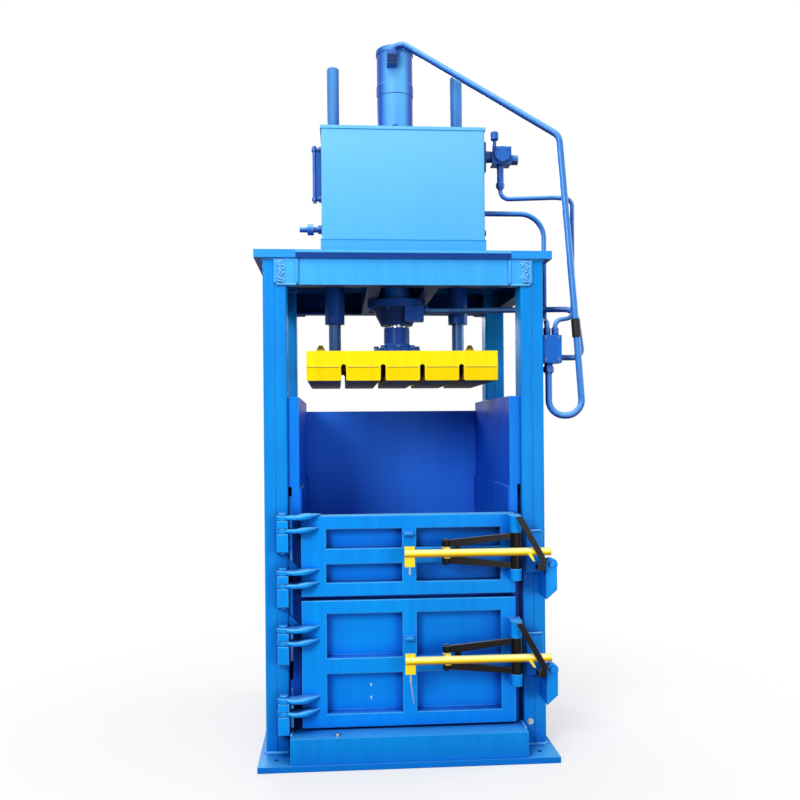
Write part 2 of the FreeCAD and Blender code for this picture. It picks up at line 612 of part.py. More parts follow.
# ---------------------------------------------------------------- doors
def door(name, low, high, middle, bar):
    """A folded channel frame of three stiles and three rails, in front of a skin, with the two
    latch ears and the handle rest welded to its face."""
    left = negative("door_left")
    stile_left = "-door_left + hinge_stile"
    stile_mid_low = "-centre_stile_left"
    stile_mid_high = "centre_stile - centre_stile_left"
    stile_right = "door_right - latch_stile"
    windows = []
    for window_left, window_right in ((stile_left, stile_mid_low), (stile_mid_high, stile_right)):
        windows.append((window_left, low + " + door_rail", window_right, middle))
        windows.append((window_left, middle + " + middle_rail", window_right,
                        high + " - door_rail"))
    frame = padded(name + "_frame", "XZ_Plane",
                   [rectangle(left, low, "door_right", high)] + [rectangle(*w) for w in windows],
                   "door_depth - door_skin", ("0", negative("door_back + door_skin"), "0"))
    hollow = padded(
        name + "_hollow", "XZ_Plane",
        [rectangle(left + " + door_wall", low + " + door_wall", "door_right - door_wall",
                   high + " - door_wall")]
        + [rectangle(w[0] + " - door_wall", w[1] + " - door_wall", w[2] + " + door_wall",
                     w[3] + " + door_wall") for w in windows],
        "door_depth - door_skin - door_wall", ("0", negative("door_back + door_skin"), "0"))
    folded = cut(name + "_folded", frame, hollow)
    skin = block(name + "_skin", (left, negative("door_back + door_skin"), low),
                 ("door_left + door_right", "door_skin", high + " - (" + low + ")"))
    ears = []
    tube_half = "yoke_tube_length / 2"
    for spot, height in ((bar + " + " + tube_half + " + leaf_clearance", "ear_high"),
                         (bar + " - " + tube_half + " - leaf_clearance - ear_low", "ear_low")):
        plate = block(name + "_ear", ("ear_x - ear_radius", negative("ear_y"), spot),
                      ("2 * ear_radius", "ear_out", height))
        nose = cylinder(name + "_nose", "ear_radius", height, ("ear_x", negative("ear_y"), spot))
        ears += [plate, nose]
    pivot = cylinder(name + "_pivot", "yoke_pin", "yoke_tube_length + ear_low",
                     ("ear_x", negative("ear_y"), bar + " - " + tube_half + " - ear_low / 2"))
    rest = block(name + "_rest", ("rest_inset - centre_stile_left",
                                  negative("door_front + rest_out"), bar + " + rest_rise"),
                 ("rest_width", "rest_out", "rest_thickness"))
    return keep(fuse(name + "_weldment", [folded, skin] + ears + [pivot, rest]), name)


door("upper_door", "upper_door_low", "upper_door_high", "upper_middle", "upper_bar")
door("lower_door", "lower_door_low", "lower_door_high", "lower_middle", "lower_bar")

# ---------------------------------------------------------------- hinges
HINGES = ("hinge_one", "hinge_two", "hinge_three", "hinge_four")


def leaf(name, level):
    """One horizontal strap leaf: a round eye on the pin and a bowed horn welded to the door."""
    tip_x = "-hinge_x + leaf_reach"
    horn = padded(name, "XY_Plane", [[
        ("-hinge_x", negative("hinge_y + eye_radius"), "leaf_bow"),
        (tip_x, negative("door_front + leaf_tip")),
        (tip_x, negative("door_front")),
        ("-hinge_x", negative("door_front"))]], "leaf_thickness",
        ("0", "0", level + " - leaf_thickness / 2"))
    eye = cylinder(name + "_eye", "eye_radius", "leaf_thickness",
                   ("-hinge_x", negative("hinge_y"), level + " - leaf_thickness / 2"))
    bore = cylinder(name + "_bore", "pin_radius + pin_clearance", "3 * leaf_thickness",
                    ("-hinge_x", negative("hinge_y"), level + " - 3 * leaf_thickness / 2"))
    return cut(name + "_bored", fuse(name + "_fused", [horn, eye]), bore)


for label, levels in (("upper_hinge_straps", HINGES[:2]), ("lower_hinge_straps", HINGES[2:])):
    leaves = []
    for index, level in enumerate(levels):
        leaves.append(leaf("%s_low_%d" % (label, index), level))
        leaves.append(leaf("%s_high_%d" % (label, index), level + " + leaf_pitch"))
    keep(group(label + "_set", leaves), label)

blocks = []
pins = []
for index, level in enumerate(HINGES):
    top = level + " + leaf_pitch - leaf_thickness / 2 - leaf_clearance"
    section = [
        (negative("half_depth"), level + " - block_drop"),
        (negative("hinge_y + eye_radius"), level + " - block_drop + block_slope"),
        (negative("hinge_y + eye_radius"), level + " - leaf_thickness / 2 - leaf_clearance"),
        (negative("half_depth + block_web"), level + " - leaf_thickness / 2 - leaf_clearance"),
        (negative("half_depth + block_web"), level + " + leaf_thickness / 2 + leaf_clearance"),
        (negative("hinge_y + eye_radius"), level + " + leaf_thickness / 2 + leaf_clearance"),
        (negative("hinge_y + eye_radius"), top),
        (negative("half_depth"), top)]
    body = padded("hinge_block_%d" % index, "YZ_Plane", [section], "block_width",
                  ("-hinge_x - block_width / 2", "0", "0"))
    bore = cylinder("block_bore_%d" % index, "pin_radius + pin_clearance", "2 * block_drop",
                    ("-hinge_x", negative("hinge_y"), level + " - block_drop - pin_inset"))
    blocks.append(cut("block_bored_%d" % index, body, bore))
    shank = cylinder("pin_shank_%d" % index, "pin_radius",
                     "block_drop + leaf_pitch + leaf_thickness / 2 + leaf_clearance - pin_inset",
                     ("-hinge_x", negative("hinge_y"), level + " - block_drop + pin_inset"))
    head = cylinder("pin_head_%d" % index, "pin_head_radius", "pin_head",
                    ("-hinge_x", negative("hinge_y"),
                     level + " + leaf_pitch + leaf_thickness / 2 + leaf_clearance"))
    pins.append(fuse("hinge_pin_%d" % index, [shank, head]))
keep(group("hinge_block_set", blocks), "hinge_blocks")
keep(group("hinge_pin_set", pins), "hinge_pins")


# ---------------------------------------------------------------- latches
def latch(name, bar):
    """An over-centre latch.  The yoke swings on the door's ears, the bar swings on the yoke's
    pin, and the claw welded to the bar catches the lug on the column."""
    tube_low = bar + " - yoke_tube_length / 2"
    tube_high = bar + " + yoke_tube_length / 2"
    arms = padded(name + "_arms", "XZ_Plane", [
        [("eye_x", bar + " - yoke_eye_height - yoke_arm"),
         ("ear_x", tube_low), ("ear_x", tube_high),
         ("eye_x", bar + " + yoke_eye_height + yoke_arm"),
         ("eye_x", bar + " + yoke_eye_height"),
         ("eye_x + yoke_slot", bar + " + yoke_eye_height"),
         ("eye_x + yoke_slot", bar + " - yoke_eye_height"),
         ("eye_x", bar + " - yoke_eye_height")],
        [("eye_x + yoke_neck", bar + " - yoke_eye_height"),
         ("ear_x - yoke_tube", tube_low + " + yoke_arm"),
         ("ear_x - yoke_tube", tube_high + " - yoke_arm"),
         ("eye_x + yoke_neck", bar + " + yoke_eye_height")]],
        "yoke_plate", ("0", "yoke_plate / 2 - ear_y", "0"))
    tube = cylinder(name + "_tube", "yoke_tube", "yoke_tube_length",
                    ("ear_x", negative("ear_y"), tube_low))
    parts = [arms, tube]
    for low_end in (bar + " + yoke_eye_height + leaf_clearance",
                    bar + " - yoke_eye_height - leaf_clearance - yoke_arm"):
        parts.append(cylinder(name + "_knuckle", "yoke_eye", "yoke_arm",
                              ("eye_x", negative("ear_y"), low_end)))
    solid = fuse(name + "_solid", parts)
    bush_room = cylinder(name + "_room", "yoke_eye + bush_clearance",
                         "2 * (yoke_eye_height + leaf_clearance)",
                         ("eye_x", negative("ear_y"), bar + " - yoke_eye_height - leaf_clearance"))
    ear_bore = cylinder(name + "_bore", "yoke_pin + pin_clearance", "2 * yoke_tube_length",
                        ("ear_x", negative("ear_y"), bar + " - yoke_tube_length"))
    roomy = cut(name + "_roomy", solid, bush_room)
    bored = cut(name + "_bored", roomy, ear_bore)
    pin = cylinder(name + "_pin", "yoke_pin", "2 * (yoke_eye_height + yoke_arm + pin_end)",
                   ("eye_x", negative("ear_y"), bar + " - yoke_eye_height - yoke_arm - pin_end"))
    keep(fuse(name + "_yoke_weldment", [bored, pin]), name + "_yoke")

    grip_low = bar + " - grip_height / 2 - grip_drop"
    rod = cylinder(name + "_rod", "bar_radius", "bar_left + bar_right",
                   ("-bar_left", negative("bar_y"), bar), "x")
    bush = cylinder(name + "_bush", "yoke_eye", "2 * yoke_eye_height",
                    ("eye_x", negative("ear_y"), bar + " - yoke_eye_height"))
    grip = block(name + "_grip", ("-bar_left", negative("bar_y + grip_depth / 2"),
                                  grip_low),
                 ("grip_width", "grip_depth", "grip_height"))
    neck = block(name + "_neck", ("eye_x - neck_width / 2", negative("bar_y"),
                                  bar + " - yoke_eye_height"),
                 ("neck_width", "bar_y - ear_y", "2 * yoke_eye_height"))
    catch = padded(name + "_catch", "XZ_Plane", [[
        ("0", "0"), ("catch_width", "0"), ("catch_run", "-catch_fall"),
        ("catch_run - catch_tip", "-catch_fall")]], "catch_thickness",
        ("ear_x + catch_x", "catch_gap + catch_thickness - bar_y - bar_radius", bar))
    solid_bar = fuse(name + "_bar", [rod, bush, neck, grip, catch])
    drill = cylinder(name + "_drill", "yoke_pin + pin_clearance", "4 * yoke_eye_height",
                     ("eye_x", negative("ear_y"), bar + " - 2 * yoke_eye_height"))
    pin_x = "-bar_left + grip_width / 2"
    pocket = cylinder(name + "_pocket", "lock_pin + pin_clearance", "pocket_depth",
                      (pin_x, negative("bar_y"), grip_low + " + lock_pin_hold - pocket_depth"))
    drilled = cut(name + "_drilled", solid_bar, drill)
    keep(cut(name + "_handle_piece", drilled, pocket), name + "_handle")

    front = negative("bar_y + bar_radius")
    claw = padded(name + "_claw_plate", "XZ_Plane", [[
        ("0", "claw_top"), ("claw_width", "claw_top + claw_point"),
        ("claw_lean + claw_width", negative("claw_bend")),
        ("claw_lean + claw_width / 2 - claw_point", negative("claw_tip")),
        ("claw_lean - claw_width / 2", negative("claw_tip")),
        ("claw_lean", negative("claw_bend"))]], "claw_thickness",
        ("ear_x - claw_width / 2", front, bar))
    finger = block(name + "_finger", ("ear_x - claw_width + claw_lean", front,
                                      bar + " - claw_tip"),
                   ("finger_length", "claw_finger", "finger_height"))
    keep(fuse(name + "_claw_piece", [claw, finger]), name + "_claw")
    pin_body = cylinder(name + "_drop_pin", "lock_pin", "lock_pin_length",
                        (pin_x, negative("bar_y"),
                         grip_low + " + lock_pin_hold - lock_pin_length"))
    keep(pin_body, name + "_lock_pin")

    eye_level = bar + " - lug_drop"
    lug_block = padded(name + "_lug_block", "XZ_Plane", [[
        ("-lug_width / 2", "0"), ("-lug_width / 2", "-lug_height"),
        ("lug_width / 2", "lug_slope - lug_height"), ("lug_width / 2", "0")]], "lug_out",
        ("lug_x", negative("half_depth"), eye_level))
    lug_eye = cylinder(name + "_lug_eye", "lug_eye", "lug_eye_depth",
                       ("lug_x", negative("lug_front"), eye_level), "y")
    lug_pin = cylinder(name + "_lug_pin", "lug_pin", "lug_eye_depth + lug_pin_proud",
                       ("lug_x", negative("lug_front + lug_pin_proud"), eye_level), "y")
    striker = block(name + "_striker", ("lug_x - striker_width - lug_width / 4",
                                        negative("half_depth + beam_wall"),
                                        bar + " - striker_low"),
                    ("striker_width", "beam_wall", "striker_low + striker_high"))
    keep(fuse(name + "_lug_piece", [lug_block, lug_eye, lug_pin, striker]), name + "_lug")


latch("upper_latch", "upper_bar")
latch("lower_latch", "lower_bar")

# ---------------------------------------------------------------- cylinder and ram
barrel_tube = turned("barrel_tube", [[
    ("bore_radius", "beam_bottom"), ("barrel_radius", "beam_bottom"),
    ("barrel_radius", "band_low"), ("barrel_radius + band_proud", "band_low + band_proud"),
    ("barrel_radius + band_proud", "band_high - band_proud"), ("barrel_radius", "band_high"),
    ("barrel_radius", "barrel_top"), ("bore_radius", "barrel_top")]])
boss = block("port_boss", ("-boss_x - boss_width / 2", "-(boss_y + boss_width / 2)",
                           "barrel_top - boss_drop - boss_width"),
             ("boss_width", "boss_y + boss_width / 2 - bore_radius - boss_root", "boss_width"))
keep(fuse("barrel_piece", [barrel_tube, boss]), "barrel")
cap_disc = turned("cap_disc", [[
    ("0", "barrel_top"), ("barrel_radius + cap_proud", "barrel_top"),
    ("barrel_radius + cap_proud", "barrel_top + cap_thickness - cap_proud"),
    ("barrel_radius", "barrel_top + cap_thickness"), ("0", "barrel_top + cap_thickness")]])
keep(cap_disc, "barrel_cap")

gland_body = turned("gland_body", [[
    ("rod_radius + slide_clearance", "gland_low"), ("gland_nose", "gland_low"),
    ("gland_nose + gland_taper", "gland_low + gland_nose_height"),
    ("gland_radius - gland_step", "beam_bottom - gland_flange"),
    ("gland_radius", "beam_bottom - gland_flange"), ("gland_radius", "beam_bottom"),
    ("rod_radius + slide_clearance", "beam_bottom")]])
port_block = block("port_block", ("port_left", "-port_front", "port_level - port_height + port_rise"),
                   ("port_width", "port_depth", "port_height"))
gland_solid = fuse("gland_solid", [gland_body, port_block])
rod_way = cylinder("rod_way", "rod_radius + slide_clearance", "2 * gland_drop",
                   ("0", "0", "gland_low - gland_drop / 2"))
keep(cut("gland_piece", gland_solid, rod_way), "gland_flange")
gland_bolts = []
GLAND_BOLTS = 8
PORT_PLACE = 6  # the port block stands where this bolt would be
for index in [step for step in range(GLAND_BOLTS) if step != PORT_PLACE]:
    turn = (index + 0.5) * 360 / GLAND_BOLTS
    ring = "(gland_radius - gland_bolt_in)"
    gland_bolts.append(cylinder(
        "gland_bolt", "flange_bolt / 2", "flange_bolt_height",
        ("%s * %.6f" % (ring, math.cos(math.radians(turn))),
         "%s * %.6f" % (ring, math.sin(math.radians(turn))),
         "beam_bottom - gland_flange - flange_bolt_height")))
keep(group("gland_bolt_set", gland_bolts), "gland_bolts")

piston = turned("piston", [[
    ("0", "piston_top - piston_height"),
    ("bore_radius - slide_clearance", "piston_top - piston_height"),
    ("bore_radius - slide_clearance", "piston_top - 2 * piston_height / 3"),
    ("bore_radius - seal_groove", "piston_top - 2 * piston_height / 3"),
    ("bore_radius - seal_groove", "piston_top - piston_height / 3"),
    ("bore_radius - slide_clearance", "piston_top - piston_height / 3"),
    ("bore_radius - slide_clearance", "piston_top"), ("0", "piston_top")]])
keep(piston, "piston")
piston_rod = turned("piston_rod", [[
    ("0", "rod_low"), ("rod_radius - rod_bevel", "rod_low"),
    ("rod_radius", "rod_low + rod_bevel"),
    ("rod_radius", "piston_top - piston_height"), ("0", "piston_top - piston_height")]])
keep(piston_rod, "piston_rod")

rod_flange = turned("rod_hub", [[
    ("0", "platen_top"), ("rod_flange_radius", "platen_top"),
    ("rod_flange_radius", "rod_low - flange_bevel"),
    ("rod_flange_radius - flange_bevel", "rod_low"),
    ("socket_radius + socket_foot", "rod_low"),
    ("socket_radius", "rod_low + socket_foot_height"),
    ("socket_radius", "platen_top + socket_height"),
    ("rod_radius + weld_gap", "platen_top + socket_height"),
    ("rod_radius + weld_gap", "rod_low"), ("0", "rod_low")]])
flange_parts = [rod_flange]
FLANGE_BOLTS = 8
for index in range(FLANGE_BOLTS):
    turn = index * 360 / FLANGE_BOLTS
    ring = "(rod_flange_radius - flange_bolt_in)"
    flange_parts.append(cylinder(
        "flange_bolt_head", "flange_bolt / 2", "flange_bolt_height",
        ("%s * %.6f" % (ring, math.cos(math.radians(turn))),
         "%s * %.6f" % (ring, math.sin(math.radians(turn))), "rod_low")))
keep(fuse("rod_flange_piece", flange_parts), "rod_flange")

# ---------------------------------------------------------------- platen and guides
deck = block("platen_deck_block", ("-platen_width / 2", "-platen_depth / 2", "box_low"),
             ("platen_width", "platen_depth", "box_height"))
voids = []
for across in ("-1", "1"):
    for along in ("-1", "1"):
        span_x = "(platen_width / 2 - 1.5 * platen_skin)"
        span_y = "(platen_depth / 2 - 1.5 * platen_skin)"
        low_x = "platen_skin / 2" if across == "1" else "-platen_skin / 2 - " + span_x
        low_y = "platen_skin / 2" if along == "1" else "-platen_skin / 2 - " + span_y
        voids.append(block("platen_void", (low_x, low_y, "box_low - platen_skin"),
                           (span_x, span_y, "box_height - platen_deck + platen_skin")))
for step in ("-1.5", "-0.5", "0.5", "1.5"):
    voids.append(cylinder("slot_top", "strap_slot / 2", "2 * platen_depth",
                          (step + " * press_bar_pitch", "-platen_depth", "box_low"), "y"))
hollow_deck = cut("platen_hollow", deck, fuse("platen_voids", voids))
tabs = []
for label, across in (("left_tab", "left_tab_in - platen_width / 2"),
                      ("right_tab", "platen_width / 2 - right_tab_in")):
    tabs.append(padded(label, "XZ_Plane", [[
        ("-tab_width / 2", "0"), ("tab_width / 2", "0"), ("tab_top / 2", "tab_height"),
        ("-tab_top / 2", "tab_height")]], "platen_skin",
        (across, "tab_in - platen_depth / 2", "platen_top")))
keep(fuse("platen_weldment", [hollow_deck] + tabs), "platen")

press_bars = []
for step in ("-2", "-1", "0", "1", "2"):
    half = "press_bar_width / 2"
    body = padded("press_bar", "XZ_Plane", [[
        ("-(%s) + bar_chamfer" % half, "0"), (half + " - bar_chamfer", "0"),
        (half, "bar_chamfer"), (half, "bar_height"), ("-(%s)" % half, "bar_height"),
        ("-(%s)" % half, "bar_chamfer")]], "platen_depth",
        (step + " * press_bar_pitch", "platen_depth / 2", "platen_low"))
    hollow = block("bar_hollow", (step + " * press_bar_pitch - (%s) + platen_skin" % half,
                                  "-platen_depth / 2 + platen_skin", "platen_low + platen_skin"),
                   ("press_bar_width - 2 * platen_skin", "platen_depth - 2 * platen_skin",
                    "bar_height"))
    press_bars.append(cut("press_bar_tray", body, hollow))
keep(group("press_bar_set", press_bars), "press_bars")

for label, side, top in (("left", "-1", "left_guide_top"), ("right", "1", "right_guide_top")):
    guide = turned(label + "_guide_rod", [[
        ("0", "platen_top"), ("guide_collar", "platen_top"),
        ("guide_radius + collar_step", "platen_top + guide_collar_height"),
        ("guide_radius", "platen_top + guide_collar_height"),
        ("guide_radius", top + " - guide_bevel"),
        ("guide_radius - guide_bevel", top), ("0", top)]], (side + " * guide_x", "0", "0"))
    keep(guide, label + "_guide_rod")
    sleeve = turned(label + "_guide_sleeve", [[
        ("guide_radius + slide_clearance", "sleeve_low"), ("sleeve_radius", "sleeve_low"),
        ("sleeve_radius", "plate_top + sleeve_proud"),
        ("guide_radius + slide_clearance", "plate_top + sleeve_proud")]],
        (side + " * guide_x", "0", "0"))
    keep(sleeve, label + "_guide_sleeve")

# ---------------------------------------------------------------- oil unit
shell = padded("tank_shell", "XY_Plane", [rectangle(
    "-tank_left", "-tank_front", "tank_right", "-tank_front + tank_depth")], "tank_height",
    ("0", "0", "plate_top"))
round_edges(shell, "tank_corner", lambda edge: abs(edge.BoundBox.ZLength - edge.Length) < 0.001)
skirt = block("tank_skirt_band", ("-tank_left - tank_proud", "-tank_front - tank_proud",
                                  "plate_top"),
              ("tank_left + tank_right + 2 * tank_proud", "tank_depth + 2 * tank_proud",
               "tank_skirt"))
lip = block("tank_lip_band", ("-tank_left - tank_proud", "-tank_front - tank_proud",
                              "tank_top - tank_lip"),
            ("tank_left + tank_right + 2 * tank_proud", "tank_depth + 2 * tank_proud",
             "tank_lip"))
inside = block("tank_inside", ("-tank_left + tank_wall", "-tank_front + tank_wall",
                               "plate_top + tank_wall"),
               ("tank_left + tank_right - 2 * tank_wall", "tank_depth - 2 * tank_wall",
                "tank_height - 2 * tank_wall"))
keep(cut("tank_piece", fuse("tank_outer", [shell, skirt, lip]), inside), "oil_tank")

gauge_x = "-tank_left - gauge_out"
gauge_parts = [
    cylinder("gauge_tube", "gauge_radius", "gauge_length", (gauge_x, "-gauge_y", "gauge_low")),
    block("gauge_guard", (gauge_x, "-gauge_y - gauge_plate / 2", "gauge_low + gauge_arm_in"),
          ("gauge_out", "gauge_plate", "gauge_length - 2 * gauge_arm_in"))]
for level in ("gauge_low + gauge_arm_in", "gauge_high - gauge_arm_in"):
    gauge_parts.append(cylinder("gauge_arm", "gauge_radius", "gauge_out",
                                (gauge_x, "-gauge_y", level), "x"))
    gauge_parts.append(cylinder("gauge_nut", "gauge_nut", "gauge_nut_height",
                                (gauge_x, "-gauge_y", level + " - gauge_nut_height / 2")))
keep(fuse("gauge_piece", gauge_parts), "level_gauge")

drain = turned("drain_valve", [[
    ("0", "0"), ("drain_radius", "0"), ("drain_radius", "drain_neck"),
    ("drain_bulb", "drain_neck"), ("drain_bulb", "drain_neck + drain_ball"),
    ("drain_radius", "drain_neck + drain_ball"), ("drain_radius", "drain_reach"),
    ("0", "drain_reach")]],
    ("-tank_left", "-gauge_y", "drain_level"), FreeCAD.Rotation(Vector(0, 1, 0), -90))
keep(drain, "drain_valve")

breather = turned("breather", [[
    ("0", "0"), ("breather_neck", "0"), ("breather_neck", "breather_neck_height"),
    ("breather_radius", "breather_neck_height"),
    ("breather_radius", "breather_height"), ("0", "breather_height")]],
    ("breather_x", "-breather_y", "tank_top"))
keep(breather, "breather")

motor_can = turned("motor_can", [[
    ("0", "0"), ("motor_radius - cowl_step", "0"), ("motor_radius", "cowl_step"),
    ("motor_radius", "cowl_length"), ("motor_radius - cowl_step", "cowl_length"),
    ("motor_radius - cowl_step", "motor_length - end_bell"),
    ("motor_radius", "motor_length - end_bell"),
    ("motor_radius", "motor_length"), ("0", "motor_length")]],
    ("motor_x", "motor_y", "motor_axis"), FreeCAD.Rotation(Vector(0, 1, 0), -90))
motor_parts = [motor_can]
FIN_COUNT = int(number("fin_count"))
for index in range(FIN_COUNT):
    fin = block("motor_fin", ("0", "0", "0"),
                ("motor_length - cowl_length - end_bell", "fin_width", "2 * fin_height"))
    turn = index * 360 / FIN_COUNT
    fin.Placement.Rotation = FreeCAD.Rotation(Vector(1, 0, 0), turn)
    sine = "%.6f" % math.sin(math.radians(turn))
    cosine = "%.6f" % math.cos(math.radians(turn))
    root = "(motor_radius - 2 * fin_height)"
    bind(fin, "Placement.Base.x", "motor_x - motor_length + end_bell")
    bind(fin, "Placement.Base.y", "motor_y - %s * %s - fin_width / 2 * %s" % (root, sine, cosine))
    bind(fin, "Placement.Base.z", "motor_axis + %s * %s - fin_width / 2 * %s"
         % (root, cosine, sine))
    motor_parts.append(fin)
for near in ("motor_x - front_foot_in", "motor_x - motor_length + rear_foot_in"):
    motor_parts.append(block("motor_foot", (near, "motor_y - motor_radius", "plate_top"),
                             ("foot_width", "2 * motor_radius",
                              "motor_height - motor_radius + foot_rise")))
motor_parts.append(block("terminal_box", ("motor_x - box_in", "motor_y - box_depth / 2",
                                          "motor_axis + motor_radius - end_bell"),
                         ("box_length", "box_depth", "box_rise")))
keep(fuse("motor_piece", motor_parts), "motor")

pump = turned("pump", [[
    ("0", "0"), ("bell_radius", "0"), ("bell_radius", "bell_flange"),
    ("bell_radius - bell_waist", "bell_flange"),
    ("bell_radius - bell_waist", "bell_length - bell_flange"),
    ("bell_radius", "bell_length - bell_flange"), ("bell_radius", "bell_length"),
    ("pump_radius", "bell_length"), ("pump_radius", "bell_length + pump_length"),
    ("0", "bell_length + pump_length")]],
    ("motor_x - motor_length", "motor_y", "motor_axis"),
    FreeCAD.Rotation(Vector(0, 1, 0), -90))
keep(pump, "pump")

valve_parts = [
    block("valve_foot", ("tank_right", "-valve_y - valve_width / 2",
                         "valve_low - valve_foot_low"),
          ("valve_plate", "valve_width", "valve_height + valve_foot_low + valve_foot_high")),
    cylinder("valve_neck", "valve_neck", "valve_gap - valve_plate",
             ("tank_right + valve_plate", "-valve_y", "valve_mid"), "x"),
    block("valve_block", ("valve_body_left", "-valve_y - valve_width / 2", "valve_low"),
          ("valve_length", "valve_width", "valve_height")),
    cylinder("valve_cover", "cover_radius", "cover_depth",
             ("valve_body_left + valve_length / 2", "-valve_y - valve_width / 2 - cover_depth",
              "valve_mid"), "y"),
    cylinder("valve_cartridge", "cartridge_radius", "cartridge_length",
             ("valve_body_right", "-valve_y", "valve_mid - cartridge_drop"), "x"),
    cylinder("valve_stem", "stem_radius", "stem_length", ("knob_x", "-valve_y", "valve_high")),
    cylinder("valve_port", "port_radius", "port_drop",
             ("port_x", "-valve_y", "valve_low - port_drop")),
]
keep(fuse("valve_piece", valve_parts), "relief_valve")
knob = turned("relief_knob", [[
    ("0", "0"), ("knob_radius - knob_bevel", "0"), ("knob_radius", "knob_bevel"),
    ("knob_radius", "knob_height - knob_bevel"), ("knob_radius - knob_bevel", "knob_height"),
    ("0", "knob_height")]], ("knob_x", "-valve_y", "knob_low + weld_gap"))
keep(knob, "relief_knob")

rear_port_level = "control_low + rear_port_rise"
keep(fuse("control_piece", [
    block("control_body", ("half_width", "-control_front", "control_low"),
          ("control_width", "control_depth", "control_height")),
    cylinder("return_nipple", "port_radius", "nipple_length",
             ("half_width + return_port_in", "-control_mid", "control_high")),
    cylinder("feed_nipple", "port_radius", "nipple_length",
             ("half_width + feed_port_in", "-control_mid", "control_high")),
    cylinder("outlet_nipple", "outlet_radius", "outlet_length",
             ("half_width + outlet_in", "-control_mid", "control_low - outlet_length")),
    cylinder("rear_nipple", "port_radius", "nipple_length",
             ("half_width + rear_port_in", "-control_back", rear_port_level), "y"),
]), "control_valve")


# ---------------------------------------------------------------- pipes
def pipe(label, radius, route):
    """A rigid pipe: round straight runs between the points of its route, joined by tangent
    arcs.  The fourth item of a point is the radius of its bend."""
    points = [Vector(*[number(item) for item in point[:3]]) for point in route]
    size = number(radius)
    start = points[0]
    runs = []
    length = 0

    def disc(centre, way):
        return Part.Face(Part.Wire(Part.Circle(centre, way, size).toShape()))

    for index in range(1, len(points) - 1):
        back = (points[index - 1] - points[index]).normalize()
        ahead = (points[index + 1] - points[index]).normalize()
        bend = number(route[index][3])
        turn = math.pi - back.getAngle(ahead)
        reach = bend * math.tan(turn / 2)
        arc_start = points[index] + back * reach
        centre = points[index] + (back + ahead).normalize() * (bend / math.cos(turn / 2))
        if (arc_start - start).dot(back) > 0:
            raise RuntimeError("%s has no room for bend %d" % (label, index))
        runs.append(disc(start, -back).extrude(arc_start - start))
        spin = back.cross(ahead).normalize()
        runs.append(disc(arc_start, -back).revolve(centre, -spin, math.degrees(turn)))
        length += (arc_start - start).Length + bend * turn
        start = points[index] + ahead * reach
    runs.append(disc(start, points[-1] - start).extrude(points[-1] - start))
    length += (points[-1] - start).Length
    solid = runs[0].multiFuse(runs[1:])
    feature = doc.addObject("Part::Feature", label)
    feature.Shape = solid.Solids[0] if len(solid.Solids) == 1 else solid
    print("%s: length %.0f mm, %d solid, volume share %.4f" % (
        label, length, len(solid.Solids), solid.Volume / (math.pi * size ** 2 * length)))
    return keep(feature, label)


pipe("top_port_pipe", "thick_pipe", [
    ("-boss_x", "-boss_y", "barrel_top - boss_drop"),
    ("-boss_x", "-boss_y", "barrel_top - boss_drop + neck_rise", "neck_bend"),
    ("neck_reach - boss_x", "-boss_y - neck_front", "barrel_top - boss_drop + neck_rise",
     "neck_bend"),
    ("half_width + shoulder_out", "-control_mid", "tank_top - shoulder_drop", "shoulder_bend"),
    ("half_width + waist_out", "-control_mid", "beam_bottom - waist_drop", "wide_bend"),
    ("half_width + hip_out", "-control_mid", "loop_low", "loop_bend"),
    ("half_width + outlet_in", "-control_mid", "loop_low", "loop_bend"),
    ("half_width + outlet_in", "-control_mid", "control_low - outlet_length")])
port_pipe_y = "-port_front + port_depth / 2"
port_run_y = "port_run_back - half_depth"
pipe("lower_port_pipe", "port_pipe", [
    ("port_left + port_width", port_pipe_y, "port_level"),
    ("port_left + port_width + rod_side_reach", port_pipe_y, "port_level", "slim_bend"),
    ("half_width + port_run_out", port_run_y, "port_level - port_run_drop", "shoulder_bend"),
    ("half_width + port_fall_out", port_run_y, rear_port_level, "slim_bend"),
    ("half_width + rear_port_in", port_run_y, rear_port_level, "slim_bend"),
    ("half_width + rear_port_in", "nipple_length - control_back", rear_port_level)])
pressure_level = "valve_low - port_drop - pressure_drop"
pressure_line_y = "pressure_line_back - half_depth"
pipe("pressure_pipe", "pressure_pipe", [
    ("port_x", "-valve_y", "valve_low - port_drop"),
    ("port_x", "-valve_y", pressure_level, "slim_bend"),
    ("half_width + pressure_out", "pressure_back - half_depth", pressure_level, "slim_bend"),
    ("half_width + pressure_side", pressure_line_y, pressure_level + " - pressure_step",
     "slim_bend"),
    ("half_width + pressure_side", pressure_line_y, "beam_bottom - pressure_foot",
     "slim_bend"),
    ("half_width + feed_port_in", "-control_mid",
     "beam_bottom - pressure_foot - pressure_step", "slim_bend"),
    ("half_width + feed_port_in", "-control_mid", "control_high + nipple_length")])
pipe("return_pipe", "return_pipe", [
    ("tank_right", "return_back - half_depth", "plate_top + return_rise"),
    ("half_width + return_out", "return_back - half_depth", "plate_top + return_rise",
     "wide_bend"),
    ("half_width + return_out", "return_back - half_depth", "beam_bottom - return_foot",
     "slim_bend"),
    ("half_width + return_port_in", "-control_mid", "beam_bottom - return_foot - return_step",
     "slim_bend"),
    ("half_width + return_port_in", "-control_mid", "control_high + nipple_length")])

# ---------------------------------------------------------------- check and write
doc.recompute()
for item in doc.Objects:
    if "Invalid" in item.State or "Error" in item.State:
        raise RuntimeError("%s did not build: %s" % (item.Label, item.State))
for item in NODES:
    if item.Shape.isNull() or not item.Shape.isValid() or item.Shape.Volume <= 0:
        raise RuntimeError("%s has no sound shape" % item.Label)
os.makedirs("parts", exist_ok=True)
for item in NODES:
    item.Shape.exportStep("parts/" + item.Label + ".step")
print("%d pieces written" % len(NODES))
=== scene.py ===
import math

import bpy
import numpy as np
from mathutils import Matrix, Vector


